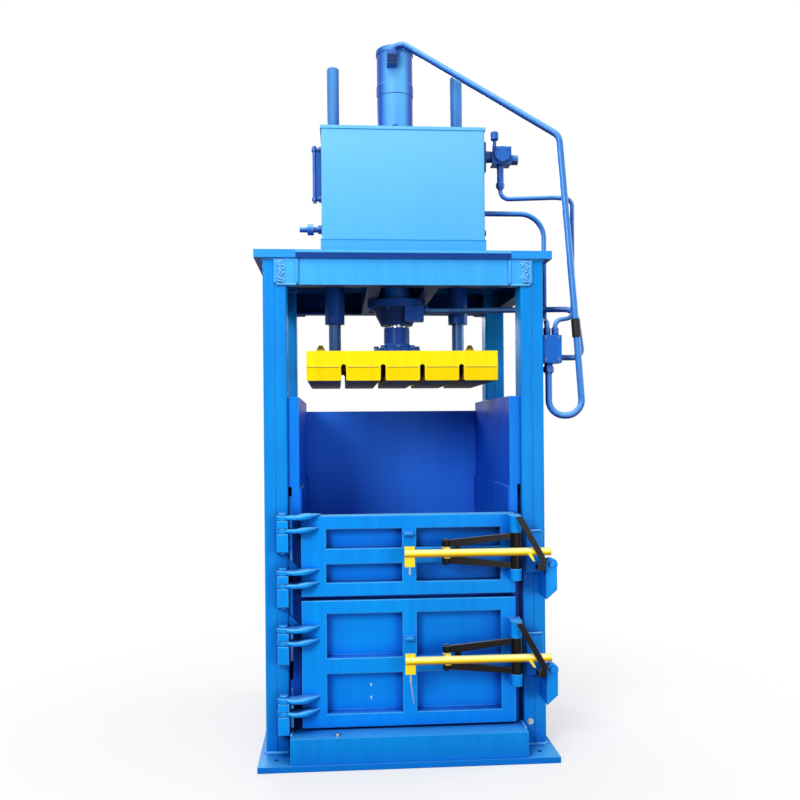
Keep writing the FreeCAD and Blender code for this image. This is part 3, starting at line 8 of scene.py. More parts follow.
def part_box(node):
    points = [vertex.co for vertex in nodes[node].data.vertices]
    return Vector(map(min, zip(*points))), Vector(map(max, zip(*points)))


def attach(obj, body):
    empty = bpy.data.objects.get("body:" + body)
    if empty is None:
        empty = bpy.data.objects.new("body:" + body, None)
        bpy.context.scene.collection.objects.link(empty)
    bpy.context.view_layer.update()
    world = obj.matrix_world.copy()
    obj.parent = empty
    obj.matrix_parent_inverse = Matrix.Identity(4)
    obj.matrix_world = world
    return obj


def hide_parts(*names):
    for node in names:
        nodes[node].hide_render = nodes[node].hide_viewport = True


# An upright recycling baler: a welded frame with a bale chamber behind two doors, and a
# guided platen that an oil cylinder pushes down.  Metres, +Z up, the doors face -Y.
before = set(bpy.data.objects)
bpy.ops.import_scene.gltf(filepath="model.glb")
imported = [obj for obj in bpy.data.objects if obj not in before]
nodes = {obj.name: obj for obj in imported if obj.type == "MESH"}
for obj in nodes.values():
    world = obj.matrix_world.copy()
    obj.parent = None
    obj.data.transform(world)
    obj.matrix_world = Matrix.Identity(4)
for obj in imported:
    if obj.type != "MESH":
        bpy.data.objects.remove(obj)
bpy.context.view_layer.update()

# ------------------------------------------------------------------ welded frame
# Box columns, channel beams and thick plates of hot rolled mild steel, welded together and
# then sprayed with gloss machine enamel.  The film is uneven, the folded edges carry a
# painted highlight, and the mill surface shows through it as a slow ripple.


def linear(code):
    """An sRGB hex colour as linear red, green, blue and alpha."""
    shares = [int(code[at:at + 2], 16) / 255 for at in (0, 2, 4)]
    return tuple(s / 12.92 if s <= 0.04045 else ((s + 0.055) / 1.055) ** 2.4
                 for s in shares) + (1.0,)


def add(tree, kind, sockets=None, **settings):
    """One shader node: a socket of another node is linked, any other value is set."""
    node = tree.nodes.new(kind)
    for name, value in settings.items():
        setattr(node, name, value)
    for name, value in (sockets or {}).items():
        if isinstance(value, bpy.types.NodeSocket):
            tree.links.new(value, node.inputs[name])
        else:
            node.inputs[name].default_value = value
    return node


def sprayed_enamel(name, body, recess_shade, pit_shade, edge, up_highlight, under, zones=(), roughness=0.38,
                   gloss=0.07, round_mm=4.0, reach=0.22):
    """Sprayed gloss enamel on steel.  The body colour is paler on faces and rounded edges that
    look up (crown), a painted highlight, and darker on those that look down (under) and where
    little light gets in (recess, then pit), painted shade; it is pale along the edges (edge),
    a painted highlight.  Zones are (axis, from, to, colour) on the object."""
    paint = bpy.data.materials.new(name)
    paint.use_nodes = True
    tree = paint.node_tree
    tree.nodes.clear()
    place = add(tree, "ShaderNodeTexCoord").outputs["Object"]

    def blend(share, one, two):
        sockets = {"Fac": share, "Color1": one, "Color2": linear(two)}
        return add(tree, "ShaderNodeMixRGB", sockets).outputs[0]

    def ramp(value, low, high, top=1.0):
        return add(tree, "ShaderNodeMapRange", {
            "Value": value, "From Min": low, "From Max": high, "To Min": 0.0,
            "To Max": top}).outputs[0]

    # film thickness drifts over about half a metre, and runs leave upright streaks 30 mm wide
    drift = add(tree, "ShaderNodeTexNoise", {"Vector": place, "Scale": 2.1, "Detail": 3.0})
    tall = add(tree, "ShaderNodeMapping", {"Vector": place, "Scale": (30.0, 30.0, 1.6)})
    streak = add(tree, "ShaderNodeTexNoise", {"Vector": tall.outputs["Vector"], "Scale": 1.0,
                                             "Detail": 4.0})
    cloud = add(tree, "ShaderNodeMath", {0: drift.outputs["Fac"], 1: streak.outputs["Fac"]},
                operation="ADD").outputs[0]
    soft = add(tree, "ShaderNodeBevel", {"Radius": round_mm * 0.001}, samples=4)
    looks = add(tree, "ShaderNodeSeparateXYZ", {"Vector": soft.outputs["Normal"]}).outputs["Z"]
    spot = add(tree, "ShaderNodeSeparateXYZ", {"Vector": place})
    tone = add(tree, "ShaderNodeMixRGB", {"Fac": ramp(cloud, 0.7, 1.3, 0.4),
                                         "Color1": linear(body), "Color2": linear(recess_shade)})
    tone = tone.outputs[0]
    for axis, begin, end, colour in zones:
        tone = blend(ramp(spot.outputs[axis], begin, end), tone, colour)
    # painted highlight on faces and rounded edges that look up, painted shade on those that look down
    tone = blend(ramp(looks, 0.06, 0.5), tone, up_highlight)
    tone = blend(ramp(looks, -0.06, -0.6), tone, under)
    # painted shade where ambient occlusion finds little light getting in, in two steps
    shelter = add(tree, "ShaderNodeAmbientOcclusion", {"Distance": reach},
                  samples=8).outputs["AO"]
    tone = blend(ramp(shelter, 0.82, 0.38), tone, recess_shade)
    tone = blend(ramp(shelter, 0.36, 0.10), tone, pit_shade)
    # a painted highlight along the rounded edges, weaker inside the painted shade
    flat = add(tree, "ShaderNodeNewGeometry")
    agree = add(tree, "ShaderNodeVectorMath", {0: soft.outputs["Normal"], 1: flat.outputs["Normal"]},
                operation="DOT_PRODUCT")
    edge_highlight = add(tree, "ShaderNodeMath", {0: ramp(agree.outputs["Value"], 0.995, 0.86, 0.55),
                                       1: ramp(shelter, 0.3, 0.75)}, operation="MULTIPLY")
    tone = blend(edge_highlight.outputs[0], tone, edge)
    # orange peel of the spray about 4 mm across, over the ripple of the rolled plate
    peel = add(tree, "ShaderNodeTexNoise", {"Vector": place, "Scale": 240.0, "Detail": 2.0})
    ripple = add(tree, "ShaderNodeTexNoise", {"Vector": place, "Scale": 9.0, "Detail": 2.0})
    wavy = add(tree, "ShaderNodeBump", {"Height": ripple.outputs["Fac"], "Strength": 0.25,
                                       "Distance": 0.004, "Normal": soft.outputs["Normal"]})
    skin = add(tree, "ShaderNodeBump", {"Height": peel.outputs["Fac"], "Strength": 0.12,
                                       "Distance": 0.0006, "Normal": wavy.outputs["Normal"]})
    dull = add(tree, "ShaderNodeMapRange", {"Value": cloud, "From Min": 0.6, "From Max": 1.4,
                                           "To Min": roughness - 0.07, "To Max": roughness + 0.1})
    shader = add(tree, "ShaderNodeBsdfPrincipled", {
        "Base Color": tone, "Roughness": dull.outputs[0], "IOR": 1.5,
        "Specular IOR Level": gloss, "Normal": skin.outputs["Normal"]})
    add(tree, "ShaderNodeOutputMaterial", {"Surface": shader.outputs["BSDF"]})
    return paint


def dress(material, *names):
    """Put a finish on CAD nodes through their material slots."""
    for name in names:
        for place in nodes[name].material_slots:
            place.material = material


azure = sprayed_enamel("azure gloss enamel on plate", "0A92E8", "0662CA", "03123A", "48B8FF",
                       "44B0FA", "06286C")
# a darker copy of the azure enamel for the beams under the top plate: painted shade
shaded_head_azure = sprayed_enamel("azure gloss enamel in the head, darkened as painted shade", "0C64CC", "0A2E7C", "030B24",
                            "2484DC", "3CA8F4", "041438", gloss=0.05, reach=0.45)
# a paler copy of the azure enamel, painted light from above, on the front beam and the weld beads
lit_azure = sprayed_enamel("azure gloss enamel, paler as painted light", "45B0F6", "1A86E0",
                            "061A4A", "8AD4FF", "7CCBFA", "061E52")
plate_low, plate_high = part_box("top_plate")
plate_front = plate_low[1]
plate_shade_top = plate_high[2] - 0.013  # above this level the front edge keeps a pale band, a painted highlight
plate_shade_end = 0.460  # beyond this the front edge has no painted shadow
# a paler copy of the azure enamel, painted light from above; between the columns the front edge is
# darkened below a pale top band, a painted shadow under a painted highlight
plate_azure = sprayed_enamel("azure gloss enamel with a dark sheared edge", "2E9AEE", "0F5CC0",
                             "030B22", "51B1E6", "51B1E6", "041234",
                             zones=[("Y", plate_front + 0.002, plate_front + 0.0004, "143E8C"),
                                    ("Z", plate_shade_top, plate_shade_top + 0.002, "51B1E6"),
                                    ("X", plate_shade_end - 0.002, plate_shade_end + 0.002, "2A96EC"),
                                    ("X", -plate_shade_end + 0.002, -plate_shade_end - 0.002, "2A96EC")])
dress(azure, "base_plate", "front_left_column", "front_right_column", "rear_left_column",
      "rear_right_column", "sill")
dress(shaded_head_azure, "rear_beam", "left_beam", "right_beam", "cylinder_beams")
dress(lit_azure, "front_beam")
dress(plate_azure, "top_plate")


def piece(name, surfaces, material, body, crease=35.0):
    """One object of closed surfaces.  Each is an array of rings in travel order, whose points
    run round the way of travel.  Flat faces close its first and last ring, but a surface whose
    last ring repeats its first is a closed loop and needs none."""
    points = []
    faces = []
    count = 0
    for rings in surfaces:
        looped = np.allclose(rings[0], rings[-1])
        if looped:
            rings = rings[:-1]
        rows, around = rings.shape[:2]
        index = np.arange(rows * around).reshape(rows, around) + count
        near = index if looped else index[:-1]
        far = np.roll(index, -1, 0) if looped else index[1:]
        walls = np.stack([near, np.roll(near, -1, 1), np.roll(far, -1, 1), far], -1)
        faces += walls.reshape(-1, 4).tolist()
        if not looped:
            faces += [index[0][::-1].tolist(), index[-1].tolist()]
        points.append(rings.reshape(-1, 3))
        count += rows * around
    mesh = bpy.data.meshes.new(name)
    mesh.from_pydata(np.concatenate(points).tolist(), [], faces)
    mesh.polygons.foreach_set("use_smooth", np.ones(len(mesh.polygons), bool))
    mesh.set_sharp_from_angle(angle=math.radians(crease))
    mesh.materials.append(material)
    made = bpy.data.objects.new(name, mesh)
    bpy.context.scene.collection.objects.link(made)
    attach(made, body)
    return made


def across(way):
    """Two unit vectors square to each direction of travel, first horizontal where it can be."""
    way = np.asarray(way, float)
    way = way / np.linalg.norm(way, axis=-1, keepdims=True)
    up = np.where(np.abs(way[..., 2:3]) > 0.95, [0.0, 1.0, 0.0], [0.0, 0.0, 1.0])
    one = np.cross(way, up)
    one /= np.linalg.norm(one, axis=-1, keepdims=True)
    return one, np.cross(way, one)


def bead(start, end, size, pitch=0.009):
    """A weld bead: a round section carried from start to end.  Its radius, size, swells and
    sinks once per pitch as the pool froze, and closes to a point at both ends."""
    start, end = np.array(start, float), np.array(end, float)
    length = np.linalg.norm(end - start)
    rows = max(8, int(length / pitch * 4))
    run = np.linspace(0.0, 1.0, rows)
    swell = size * (0.84 + 0.16 * np.abs(np.cos(math.pi * run * length / pitch)))
    close = np.sqrt(np.clip(1 - (1 - np.minimum(run, 1 - run) * length / size) ** 2, 0.0, 1.0))
    close = np.where(np.minimum(run, 1 - run) * length > size, 1.0, close)
    radius = np.maximum(swell * close, size * 0.02)
    angle = np.linspace(0, 2 * math.pi, 9)[:-1]
    one, two = across(end - start)
    ring = np.cos(angle)[:, None] * one + np.sin(angle)[:, None] * two
    spine = start + run[:, None] * (end - start)
    return spine[:, None, :] + radius[:, None, None] * ring[None]


def lathe(profile, base, way, sides=0, segments=40):
    """A profile of (radius, distance along the axis) pairs carried round an axis.  With sides,
    the radius is cut to the flats of a prism: r = apothem / cos of the angle to the flat."""
    profile = np.array(profile, float)
    count = sides * 6 if sides else segments
    angle = np.linspace(0, 2 * math.pi, count + 1)[:-1]
    way = np.array(way, float) / np.linalg.norm(way)
    one, two = across(way)
    ring = np.cos(angle)[:, None] * one + np.sin(angle)[:, None] * two
    reach = np.repeat(profile[:, :1], count, 1)
    if sides:
        turn = math.pi / sides
        flat = math.cos(turn) / np.cos((angle % (2 * turn)) - turn)
        reach = np.minimum(reach, profile[:, :1].max() * flat[None])
    spine = np.array(base, float) + profile[:, 1:] * way
    return spine[:, None, :] + reach[..., None] * ring[None]


def hex_head(base, way, flats, height):
    """A hexagon bolt head or nut on a washer, its top corners turned off at 30 degrees."""
    corner = flats / 2 / math.cos(math.pi / 6)
    washer = lathe([(0.001, 0.0), (corner * 1.22, 0.0), (corner * 1.22, 0.0022),
                    (0.001, 0.0022)], base, way)
    head = lathe([(0.001, 0.002), (corner * 0.985, 0.002), (corner, 0.0026),
                  (corner, height - corner * 0.13), (corner * 0.86, height),
                  (corner * 0.4, height), (0.001, height)], base, way, sides=6)
    return [washer, head]


def around_foot(low, high, level, size):
    """Four beads round a column's foot or head, at one height."""
    corners = [(low[0], low[1]), (high[0], low[1]), (high[0], high[1]), (low[0], high[1])]
    ends = corners[1:] + corners[:1]
    return [bead((*a, level), (*b, level), size) for a, b in zip(corners, ends)]


# on built up weld metal the enamel is glossier; the lumps carry a painted highlight and the hollows
# between them painted shade
weld_azure = sprayed_enamel("azure enamel over built up weld", "4CB2F8", "1668CC", "04123A",
                            "A6DEFF", "8CD2FF", "0A3A90", gloss=0.25, round_mm=2.0, reach=0.012)


def weld_pad(low, high, face_y, thick=0.012, pitch=0.017):
    """Weld metal built up over a seam.  A flattened oval section is carried up from low to high.
    Its thickness is rows a pitch apart, bent by slower sines, plus lumps: a dozen sine waves 8
    to 14 mm long that cross in seeded random directions, so that no two scales are alike."""
    rows = int((high[1] - low[1]) / pitch * 9)
    level = np.linspace(low[1], high[1], rows)
    angle = np.linspace(0, 2 * math.pi, 61)[:-1]
    middle, half = (low[0] + high[0]) / 2, (high[0] - low[0]) / 2
    wander = 0.0025 * np.sin(level * 95) + 0.0015 * np.sin(level * 212 + 1)
    x = middle + wander[:, None] + half * np.cos(angle)
    z = level[:, None]
    scales = np.abs(np.cos(math.pi * z / pitch + 1.5 * np.sin(x * 160 + 2 * np.sin(z * 37))))
    chance = np.random.default_rng(5)
    waves = np.zeros_like(x)
    for wave in chance.uniform(0.008, 0.014, 12):
        way, phase = chance.uniform(0, 2 * math.pi, 2)
        waves += np.sin(2 * math.pi * (x * math.cos(way) + z * math.sin(way)) / wave + phase)
    lumps = np.clip(0.5 + waves / 8, 0.0, 1.0)
    close = np.sqrt(np.clip(1 - np.linspace(-1, 1, rows) ** 8, 0.0, 1.0))[:, None]
    depth = thick * (0.50 + 0.12 * scales + 0.38 * lumps) * close * np.sin(angle)
    return np.stack([x, face_y + depth, np.repeat(level[:, None], angle.size, 1)], -1)


column_low, column_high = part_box("front_right_column")
column_seam = (column_low[0] + column_high[0]) / 2
foot_weld, head_weld = 0.008, 0.007  # bead radii
seam_weld = 0.003
seam_depth = 0.0022  # the middle of the seam's bead lies this far inside the column's face
seam_stop = 0.01
frame_welds = []
seam_beads = []
weld_pads = []
for side in (-1, 1):
    for end in (-1, 1):
        near = sorted((side * column_low[0], side * column_high[0]))
        deep = sorted((end * column_low[1], end * column_high[1]))
        for level, size in ((column_low[2] + 0.002, foot_weld),
                            (column_high[2] - 0.002, head_weld)):
            frame_welds += around_foot((near[0], deep[0]), (near[1], deep[1]), level, size)
        # the seam between the two channels of a column lies sunk in its groove
        for face in (deep[0] + seam_depth, deep[1] - seam_depth):
            seam_beads.append(bead((side * column_seam, face, column_low[2] + seam_stop),
                                   (side * column_seam, face, column_high[2] - seam_stop),
                                   seam_weld, 0.03))
beam_low, beam_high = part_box("front_beam")
lap_width = 0.09
pad_width = 0.044
lap_weld = 0.010  # radius of the heavy rippled welds round the lap plates
lap_sunk = 0.004  # the middle of each weld lies this far inside the lap plate's face
for face_y in (beam_low[1] + lap_sunk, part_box("rear_beam")[1][1] - lap_sunk):
    for outer in (beam_low[0], beam_high[0]):
        inner = outer + math.copysign(lap_width, -outer)
        for edge_x in (outer, inner):
            frame_welds.append(bead((edge_x, face_y, beam_low[2]), (edge_x, face_y, beam_high[2]),
                                    lap_weld, 0.015))
        frame_welds.append(bead((outer, face_y, beam_low[2]), (inner, face_y, beam_low[2]),
                                0.007, 0.012))
        # the outer half of each lap is built up with weld metal
        pad_edges = sorted((outer, outer + math.copysign(pad_width, -outer)))
        weld_pads.append(weld_pad((pad_edges[0], beam_low[2] + 0.002),
                                  (pad_edges[1], beam_high[2] - 0.002), face_y))
sill_low, sill_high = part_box("sill")
for side_x in (sill_low[0] + 0.003, sill_high[0] - 0.003):
    frame_welds.append(bead((side_x, sill_low[1] + 0.04, sill_high[2]),
                            (side_x, sill_high[1], sill_high[2]), 0.006))
piece("frame_weld_beads", frame_welds, lit_azure, "frame")
piece("lap_weld_pads", weld_pads, weld_azure, "frame", crease=60.0)
piece("column_seam_beads", seam_beads, azure, "frame")

# ------------------------------------------------------------------ bale chamber
# Plate side walls with turned front flanges, wear liners, a slotted floor and a rear wall,
# welded between the columns.  Below the top of the doors the flanges are painted dark, painted
# shade behind the doors, and the walls themselves are a deeper blue, also painted shade.
door_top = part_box("upper_door")[1][2]
flange_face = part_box("left_wall")[0][1]
inner_shade_zone = ("Y", flange_face + 0.002, flange_face + 0.02)
# below the top of the doors the front flanges are painted dark navy as painted shade; behind the flanges
# the walls are a deeper blue, also painted shade
wall_azure = sprayed_enamel("azure enamel on the chamber walls", "0A86EC", "0A52CC", "051A4E",
                            "48B8FF", "3CA8F8", "06286C",
                            zones=[("Z", door_top + 0.006, door_top - 0.006, "0C1A4C"),
                                   (*inner_shade_zone, "1059DA")])
# a deeper blue than the walls for the liners and floor inside the chamber: painted shade
liner_azure = sprayed_enamel("azure enamel on wear plate, deeper blue as painted shade", "1060DC", "0C48BC", "051A4E",
                             "3C96EC", "3C9CF0", "041C50")
rear_azure = sprayed_enamel("thin azure enamel on the rear wall", "2E80FA", "2468E4", "143E9E",
                            "3E8CF0", "2E78D0", "041C50", reach=0.12)
dress(wall_azure, "left_wall", "right_wall")
dress(liner_azure, "left_liner", "right_liner", "chamber_floor")
dress(rear_azure, "rear_wall")

# ------------------------------------------------------------------ doors and hinges
# Folded channel frames in front of a skin, hung on pairs of straps that turn on plain pins.
# The straps are forged: round the pin they are flat eyes, and beyond it they swell and then
# run out to a point that is welded to the door's stile.
door_azure = sprayed_enamel("azure gloss enamel on folded sheet", "0698F4", "0468DA", "031238",
                            "62CAFF", "60C2FF", "0640A4", round_mm=9.0)
strap_azure = sprayed_enamel("azure gloss enamel on forged strap", "109AF6", "0866D4", "031238",
                             "6CCBFF", "66C6FC", "083C98")
dress(door_azure, "upper_door", "lower_door", "hinge_blocks", "hinge_pins")
dress(strap_azure, "upper_latch_lug", "lower_latch_lug")
hinge_x, hinge_y = -0.520, -0.552  # the axis that all the straps turn on
door_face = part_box("lower_hinge_straps")[1][1]
strap_levels = {"upper": (0.970, 0.742), "lower": (0.504, 0.212)}  # the lower strap of each pair
strap_thickness = 0.020
strap_pitch = 0.054
strap_length = 0.158
eye_radius = 0.028
strap_bow = 0.104  # radius of the strap's front edge
strap_swell = 0.0045  # how much taller than its eye the strap gets on each side
strap_tip = 0.0035
strap_root = 0.014  # the strap springs from inside its eye
tip_proud = 0.006  # how far the tip stands off the door's stile
tip_rise = 0.010


def forged_strap(level):
    """A strap from its eye to its tip.  The front edge is an arc; the half height is that of
    the eye, swells once as a sine, then falls with the square root of what is left to go."""
    steps = 34
    around = 24
    swell_start, swell_span = 0.3, 0.5  # shares of the length
    taper_start, taper_span = 0.45, 0.56
    share = np.linspace(0.0, 1.0, steps) ** 0.85
    front_start, front_end = np.array([0.0, -eye_radius]), np.array([strap_length, -tip_proud])
    front_end[1] += door_face - hinge_y
    chord = front_end - front_start
    rise = strap_bow - math.sqrt(strap_bow ** 2 - (np.linalg.norm(chord) / 2) ** 2)
    bulge = rise * (1 - (2 * share - 1) ** 2)
    front = front_start[1] + share * chord[1] - bulge
    back = np.full(steps, door_face - hinge_y)
    run_out = np.sqrt(np.clip(1 - ((share - taper_start) / taper_span).clip(0, 1) ** 2, 0, 1))
    swell = strap_swell * np.sin(math.pi * ((share - swell_start) / swell_span).clip(0, 1))
    half = np.maximum((strap_thickness / 2 + swell) * run_out, strap_tip)
    angle = np.linspace(0, 2 * math.pi, around + 1)[:-1]
    # a rounded rectangle: |cos|^k and |sin|^k with k under 1
    square = 0.45
    flat = np.sign(np.cos(angle)) * np.abs(np.cos(angle)) ** square
    high = np.sign(np.sin(angle)) * np.abs(np.sin(angle)) ** square
    middle, depth = (front + back) / 2, (back - front) / 2
    x = hinge_x + strap_root + share * (strap_length - strap_root)
    y = hinge_y + middle[:, None] + depth[:, None] * flat
    z = level + tip_rise * share[:, None] ** 2 + half[:, None] * high
    return np.stack([np.repeat(x[:, None], around, 1), y, z], -1)


pin_bore = 0.0122
eye_bevel = 0.002
for label in ("upper", "lower"):
    door = label + "_door"
    straps = []
    strap_welds = []
    for level in [low + lift for low in strap_levels[label] for lift in (0.0, strap_pitch)]:
        straps.append(lathe([(pin_bore, 0.0), (eye_radius - eye_bevel, 0.0),
                             (eye_radius, eye_bevel), (eye_radius, strap_thickness - eye_bevel),
                             (eye_radius - eye_bevel, strap_thickness),
                             (pin_bore, strap_thickness), (pin_bore, 0.0)],
                            (hinge_x, hinge_y, level - strap_thickness / 2), (0, 0, 1)))
        straps.append(forged_strap(level))
        strap_welds.append(bead((hinge_x + 0.085, door_face, level - 0.009),
                                (hinge_x + strap_length, door_face, level + 0.002), 0.005))
    strap_set = piece(label + "_forged_straps", straps, strap_azure, door)
    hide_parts(label + "_hinge_straps")
    piece(label + "_strap_welds", strap_welds, door_azure, door)

# The yoke's ears are fillet welded to the door down both sides, and the lug's striker plate to
# the column along its top and both sides.  Heights are from the axis of the bar handle.
ear_spans = ((0.0755, 0.1475), (-0.1255, -0.0755))  # the upper and the lower ear
striker_width, striker_height, striker_rise = 0.070, 0.18, 0.070
striker_top_y, striker_left_y, striker_right_y = -0.510, -0.502, -0.504
for label in ("upper", "lower"):
    ear_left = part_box(label + "_latch_yoke")[1][0] - 0.047
    bar_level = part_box(label + "_latch_handle")[0][2] + 0.054
    ear_welds = []
    for span_low, span_high in ear_spans:
        for ear_edge in (ear_left - 0.001, ear_left + 0.049):
            ear_welds.append(bead((ear_edge, door_face, bar_level + span_low),
                                  (ear_edge, door_face, bar_level + span_high), 0.006, 0.010))
    piece(label + "_ear_welds", ear_welds, lit_azure, label + "_door")
    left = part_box(label + "_latch_lug")[0][0]
    right = left + striker_width
    top = bar_level + striker_rise
    foot = top - striker_height
    lug_welds = [
        bead((left, striker_top_y, top), (right, striker_top_y, top), 0.006, 0.012),
        bead((left, striker_left_y, top), (left, striker_left_y, foot), 0.005),
        bead((right, striker_right_y, top), (right, striker_right_y, foot), 0.005)]
    piece(label + "_lug_welds", lug_welds, lit_azure, "frame")

# ------------------------------------------------------------------ latches
# An over-centre latch on each door: a black forged yoke whose top edges carry a painted grey
# highlight, a yellow bar handle that swings on it, a black claw welded to the bar, and a
# drop pin of zinc plated steel.
handle_yellow = sprayed_enamel("yellow gloss enamel on bar", "FFEC1E", "F2BC00", "3A2600",
                               "FFFAA0", "FFFCA8", "C88C00", roughness=0.28, gloss=0.3)
# the pale grey on faces and rounded edges that look up is a painted highlight
latch_black = sprayed_enamel("satin black enamel on forged steel", "080606", "030202", "010101",
                             "34363C", "989CA4", "020202", roughness=0.3, gloss=0.16,
                             round_mm=2.0)


def plated_steel(name, body, roughness, grain):
    """Bright steel: bare metal whose turned or drawn marks run round it, grain lines a metre."""
    metal = bpy.data.materials.new(name)
    metal.use_nodes = True
    tree = metal.node_tree
    tree.nodes.clear()
    place = add(tree, "ShaderNodeTexCoord").outputs["Object"]
    fine = add(tree, "ShaderNodeMapping", {"Vector": place, "Scale": (grain / 20, grain / 20, grain)})
    marks = add(tree, "ShaderNodeTexNoise", {"Vector": fine.outputs["Vector"], "Scale": 1.0,
                                            "Detail": 2.0})
    cloud = add(tree, "ShaderNodeTexNoise", {"Vector": place, "Scale": 14.0, "Detail": 3.0})
    tint = add(tree, "ShaderNodeMixRGB", {"Fac": cloud.outputs["Fac"], "Color1": linear(body),
                                         "Color2": tuple(0.7 * part for part in linear(body)[:3]) + (1,)})
    dull = add(tree, "ShaderNodeMapRange", {"Value": marks.outputs["Fac"], "From Min": 0.3,
                                           "From Max": 0.7, "To Min": roughness * 0.75,
                                           "To Max": roughness * 1.3})
    scratch = add(tree, "ShaderNodeBump", {"Height": marks.outputs["Fac"], "Strength": 0.06,
                                          "Distance": 0.0004})
    shader = add(tree, "ShaderNodeBsdfPrincipled", {
        "Base Color": tint.outputs[0], "Metallic": 1.0, "Roughness": dull.outputs[0],
        "Normal": scratch.outputs["Normal"]})
    add(tree, "ShaderNodeOutputMaterial", {"Surface": shader.outputs["BSDF"]})
    return metal


# zinc plate is a soft grey shine, and ground chrome a clear one with very fine rings
zinc = plated_steel("zinc plated steel", "C4C8CC", 0.34, 900.0)
chrome = plated_steel("ground and hard chromed rod", "D6DADF", 0.14, 2600.0)
for label in ("upper", "lower"):
    dress(latch_black, label + "_latch_yoke", label + "_latch_claw")
    dress(handle_yellow, label + "_latch_handle")
    dress(zinc, label + "_latch_lock_pin")
lower_pin_low, lower_pin_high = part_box("lower_latch_lock_pin")
pin_x = (lower_pin_low[0] + lower_pin_high[0]) / 2
pin_y = (lower_pin_low[1] + lower_pin_high[1]) / 2
# a wire tail hangs from the lower pin, leaning a little to the right
tail_length, tail_radius, tail_lean = 0.092, 0.0026, 0.14
piece("lower_pin_tail", [lathe([(0.0008, 0.0), (tail_radius, 0.0015),
                                (tail_radius, tail_length - 0.004), (0.0009, tail_length)],
                               (pin_x, pin_y, lower_pin_low[2] + 0.002),
                               (tail_lean, 0.0, -1.0), segments=14)],
      zinc, "lower_handle")

# Two zinc plated bolts: one through the sill's top flange, one in the right column's foot.
sill_bolt_place = (-0.30, sill_low[1] + 0.032, sill_high[2] - 0.0005)
foot_bolt_place = (0.530, column_low[1] + 0.0005, 0.125)
bolt_flats, bolt_height = 0.019, 0.011
sill_bolts = hex_head(sill_bolt_place, (0, 0, 1), bolt_flats, bolt_height)
sill_bolts += hex_head(foot_bolt_place, (0, -1, 0), bolt_flats, bolt_height)
piece("sill_bolts", sill_bolts, zinc, "frame")

# Three chips in the lower door's enamel, down to a pale undercoat: one on the middle rail and
# two on the recessed skin.  Each is a disc drawn out to its own width and height.
chip_pale = sprayed_enamel("pale undercoat in a chip", "B4DCF6", "9CCBEC", "5C8CB0", "C8E8FA",
                           "C8E8FA", "8CB8D8", roughness=0.6, round_mm=0.3)
rail_y, skin_y = door_face + 0.0003, -0.4877  # both 0.3 mm inside the steel's face
chips = []
for spot, wide, tall in (((-0.079, rail_y, 0.412), 0.005, 0.009),
                         ((-0.155, skin_y, 0.300), 0.004, 0.008),
                         ((-0.155, skin_y, 0.246), 0.004, 0.008)):
    disc = lathe([(0.0002, 0.0), (1.0, 0.0), (0.9, 0.0008), (0.0002, 0.0008)], (0, 0, 0),
                 (0, -1, 0), segments=14)
    scaled = disc * np.array([wide, 1.0, tall])
    chips.append(scaled + np.array(spot))
piece("paint_chips", chips, chip_pale, "lower_door")

# ------------------------------------------------------------------ press cylinder and ram
# A honed tube with a welded cap and a bolted gland, painted with the machine in a deeper
# blue; the rod and the guide rods run through bushes.
# the barrel is pale blue with darker bands down its sides, a painted highlight and painted shade, and the
# port boss in front of it is painted navy as painted shade
barrel_blue = sprayed_enamel("blue gloss enamel on the barrel", "62B4F0", "1C6AD4", "061E58",
                             "8CD0FF", "5CB4F4", "0A2C78", roughness=0.3, gloss=0.25,
                             zones=[("X", 0.042, 0.072, "0E4CBC"), ("X", -0.042, -0.072, "0E4CBC"),
                                    ("Y", -0.090, -0.094, "102C62")])
guide_blue = sprayed_enamel("blue gloss enamel on the guide rods", "4E98DC", "16489E", "04102E",
                            "8CC8F4", "6CB4F0", "0A2C78", roughness=0.28, gloss=0.3, reach=0.4)
gland_navy = sprayed_enamel("navy enamel on castings", "1E52B8", "12347E", "04102E", "4A88DC",
                            "3470CC", "061840", roughness=0.3, gloss=0.12, round_mm=3.0)
dress(barrel_blue, "barrel", "barrel_cap")
dress(guide_blue, "left_guide_rod", "right_guide_rod")
dress(gland_navy, "gland_flange", "left_guide_sleeve", "right_guide_sleeve", "rod_flange")
dress(chrome, "piston_rod", "piston")

gland_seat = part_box("gland_bolts")[1][2]
gland_circle = 0.128
gland_heads = []
bolt_count = 8
bolt_step = 45
port_bolt = 6  # no bolt here: the port block stands in its place
for index in range(bolt_count):
    if index != port_bolt:
        turn = math.radians((index + 0.5) * bolt_step)
        gland_heads += hex_head((gland_circle * math.cos(turn), gland_circle * math.sin(turn),
                                 gland_seat), (0, 0, -1), 0.0182, 0.013)
gland_set = piece("gland_hex_bolts", gland_heads, gland_navy, "frame")
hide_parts("gland_bolts")
flange_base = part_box("rod_flange")[0][2]
flange_thickness = 0.040
flange_seat = flange_base + flange_thickness
flange_circle = 0.099
nipple_base = 0.112  # 3 mm inside the flange's edge
flange_heads = []
for index in range(bolt_count):
    turn = math.radians(index * bolt_step)
    flange_heads += hex_head((flange_circle * math.cos(turn), flange_circle * math.sin(turn),
                              flange_seat), (0, 0, 1), 0.0215, 0.0145)
piece("rod_flange_nuts", flange_heads, guide_blue, "ram")
piece("flange_grease_nipple", [lathe([(0.001, 0.0), (0.007, 0.0), (0.007, 0.004), (0.0045, 0.005),
                                      (0.0045, 0.009), (0.006, 0.0105), (0.003, 0.014),
                                      (0.001, 0.014)],
                                     (0.0, -nipple_base, flange_base + 0.02),
                                     (0, -1, 0), segments=20)], zinc, "ram")

# ------------------------------------------------------------------ platen
# A box of plate welded over five chamfered press bars, with a slot for a strap between each
# two.  It wears yellow enamel, and its two lifting tabs are black.
tab_zone = ("Z", flange_base + 0.0004, flange_base + 0.001)
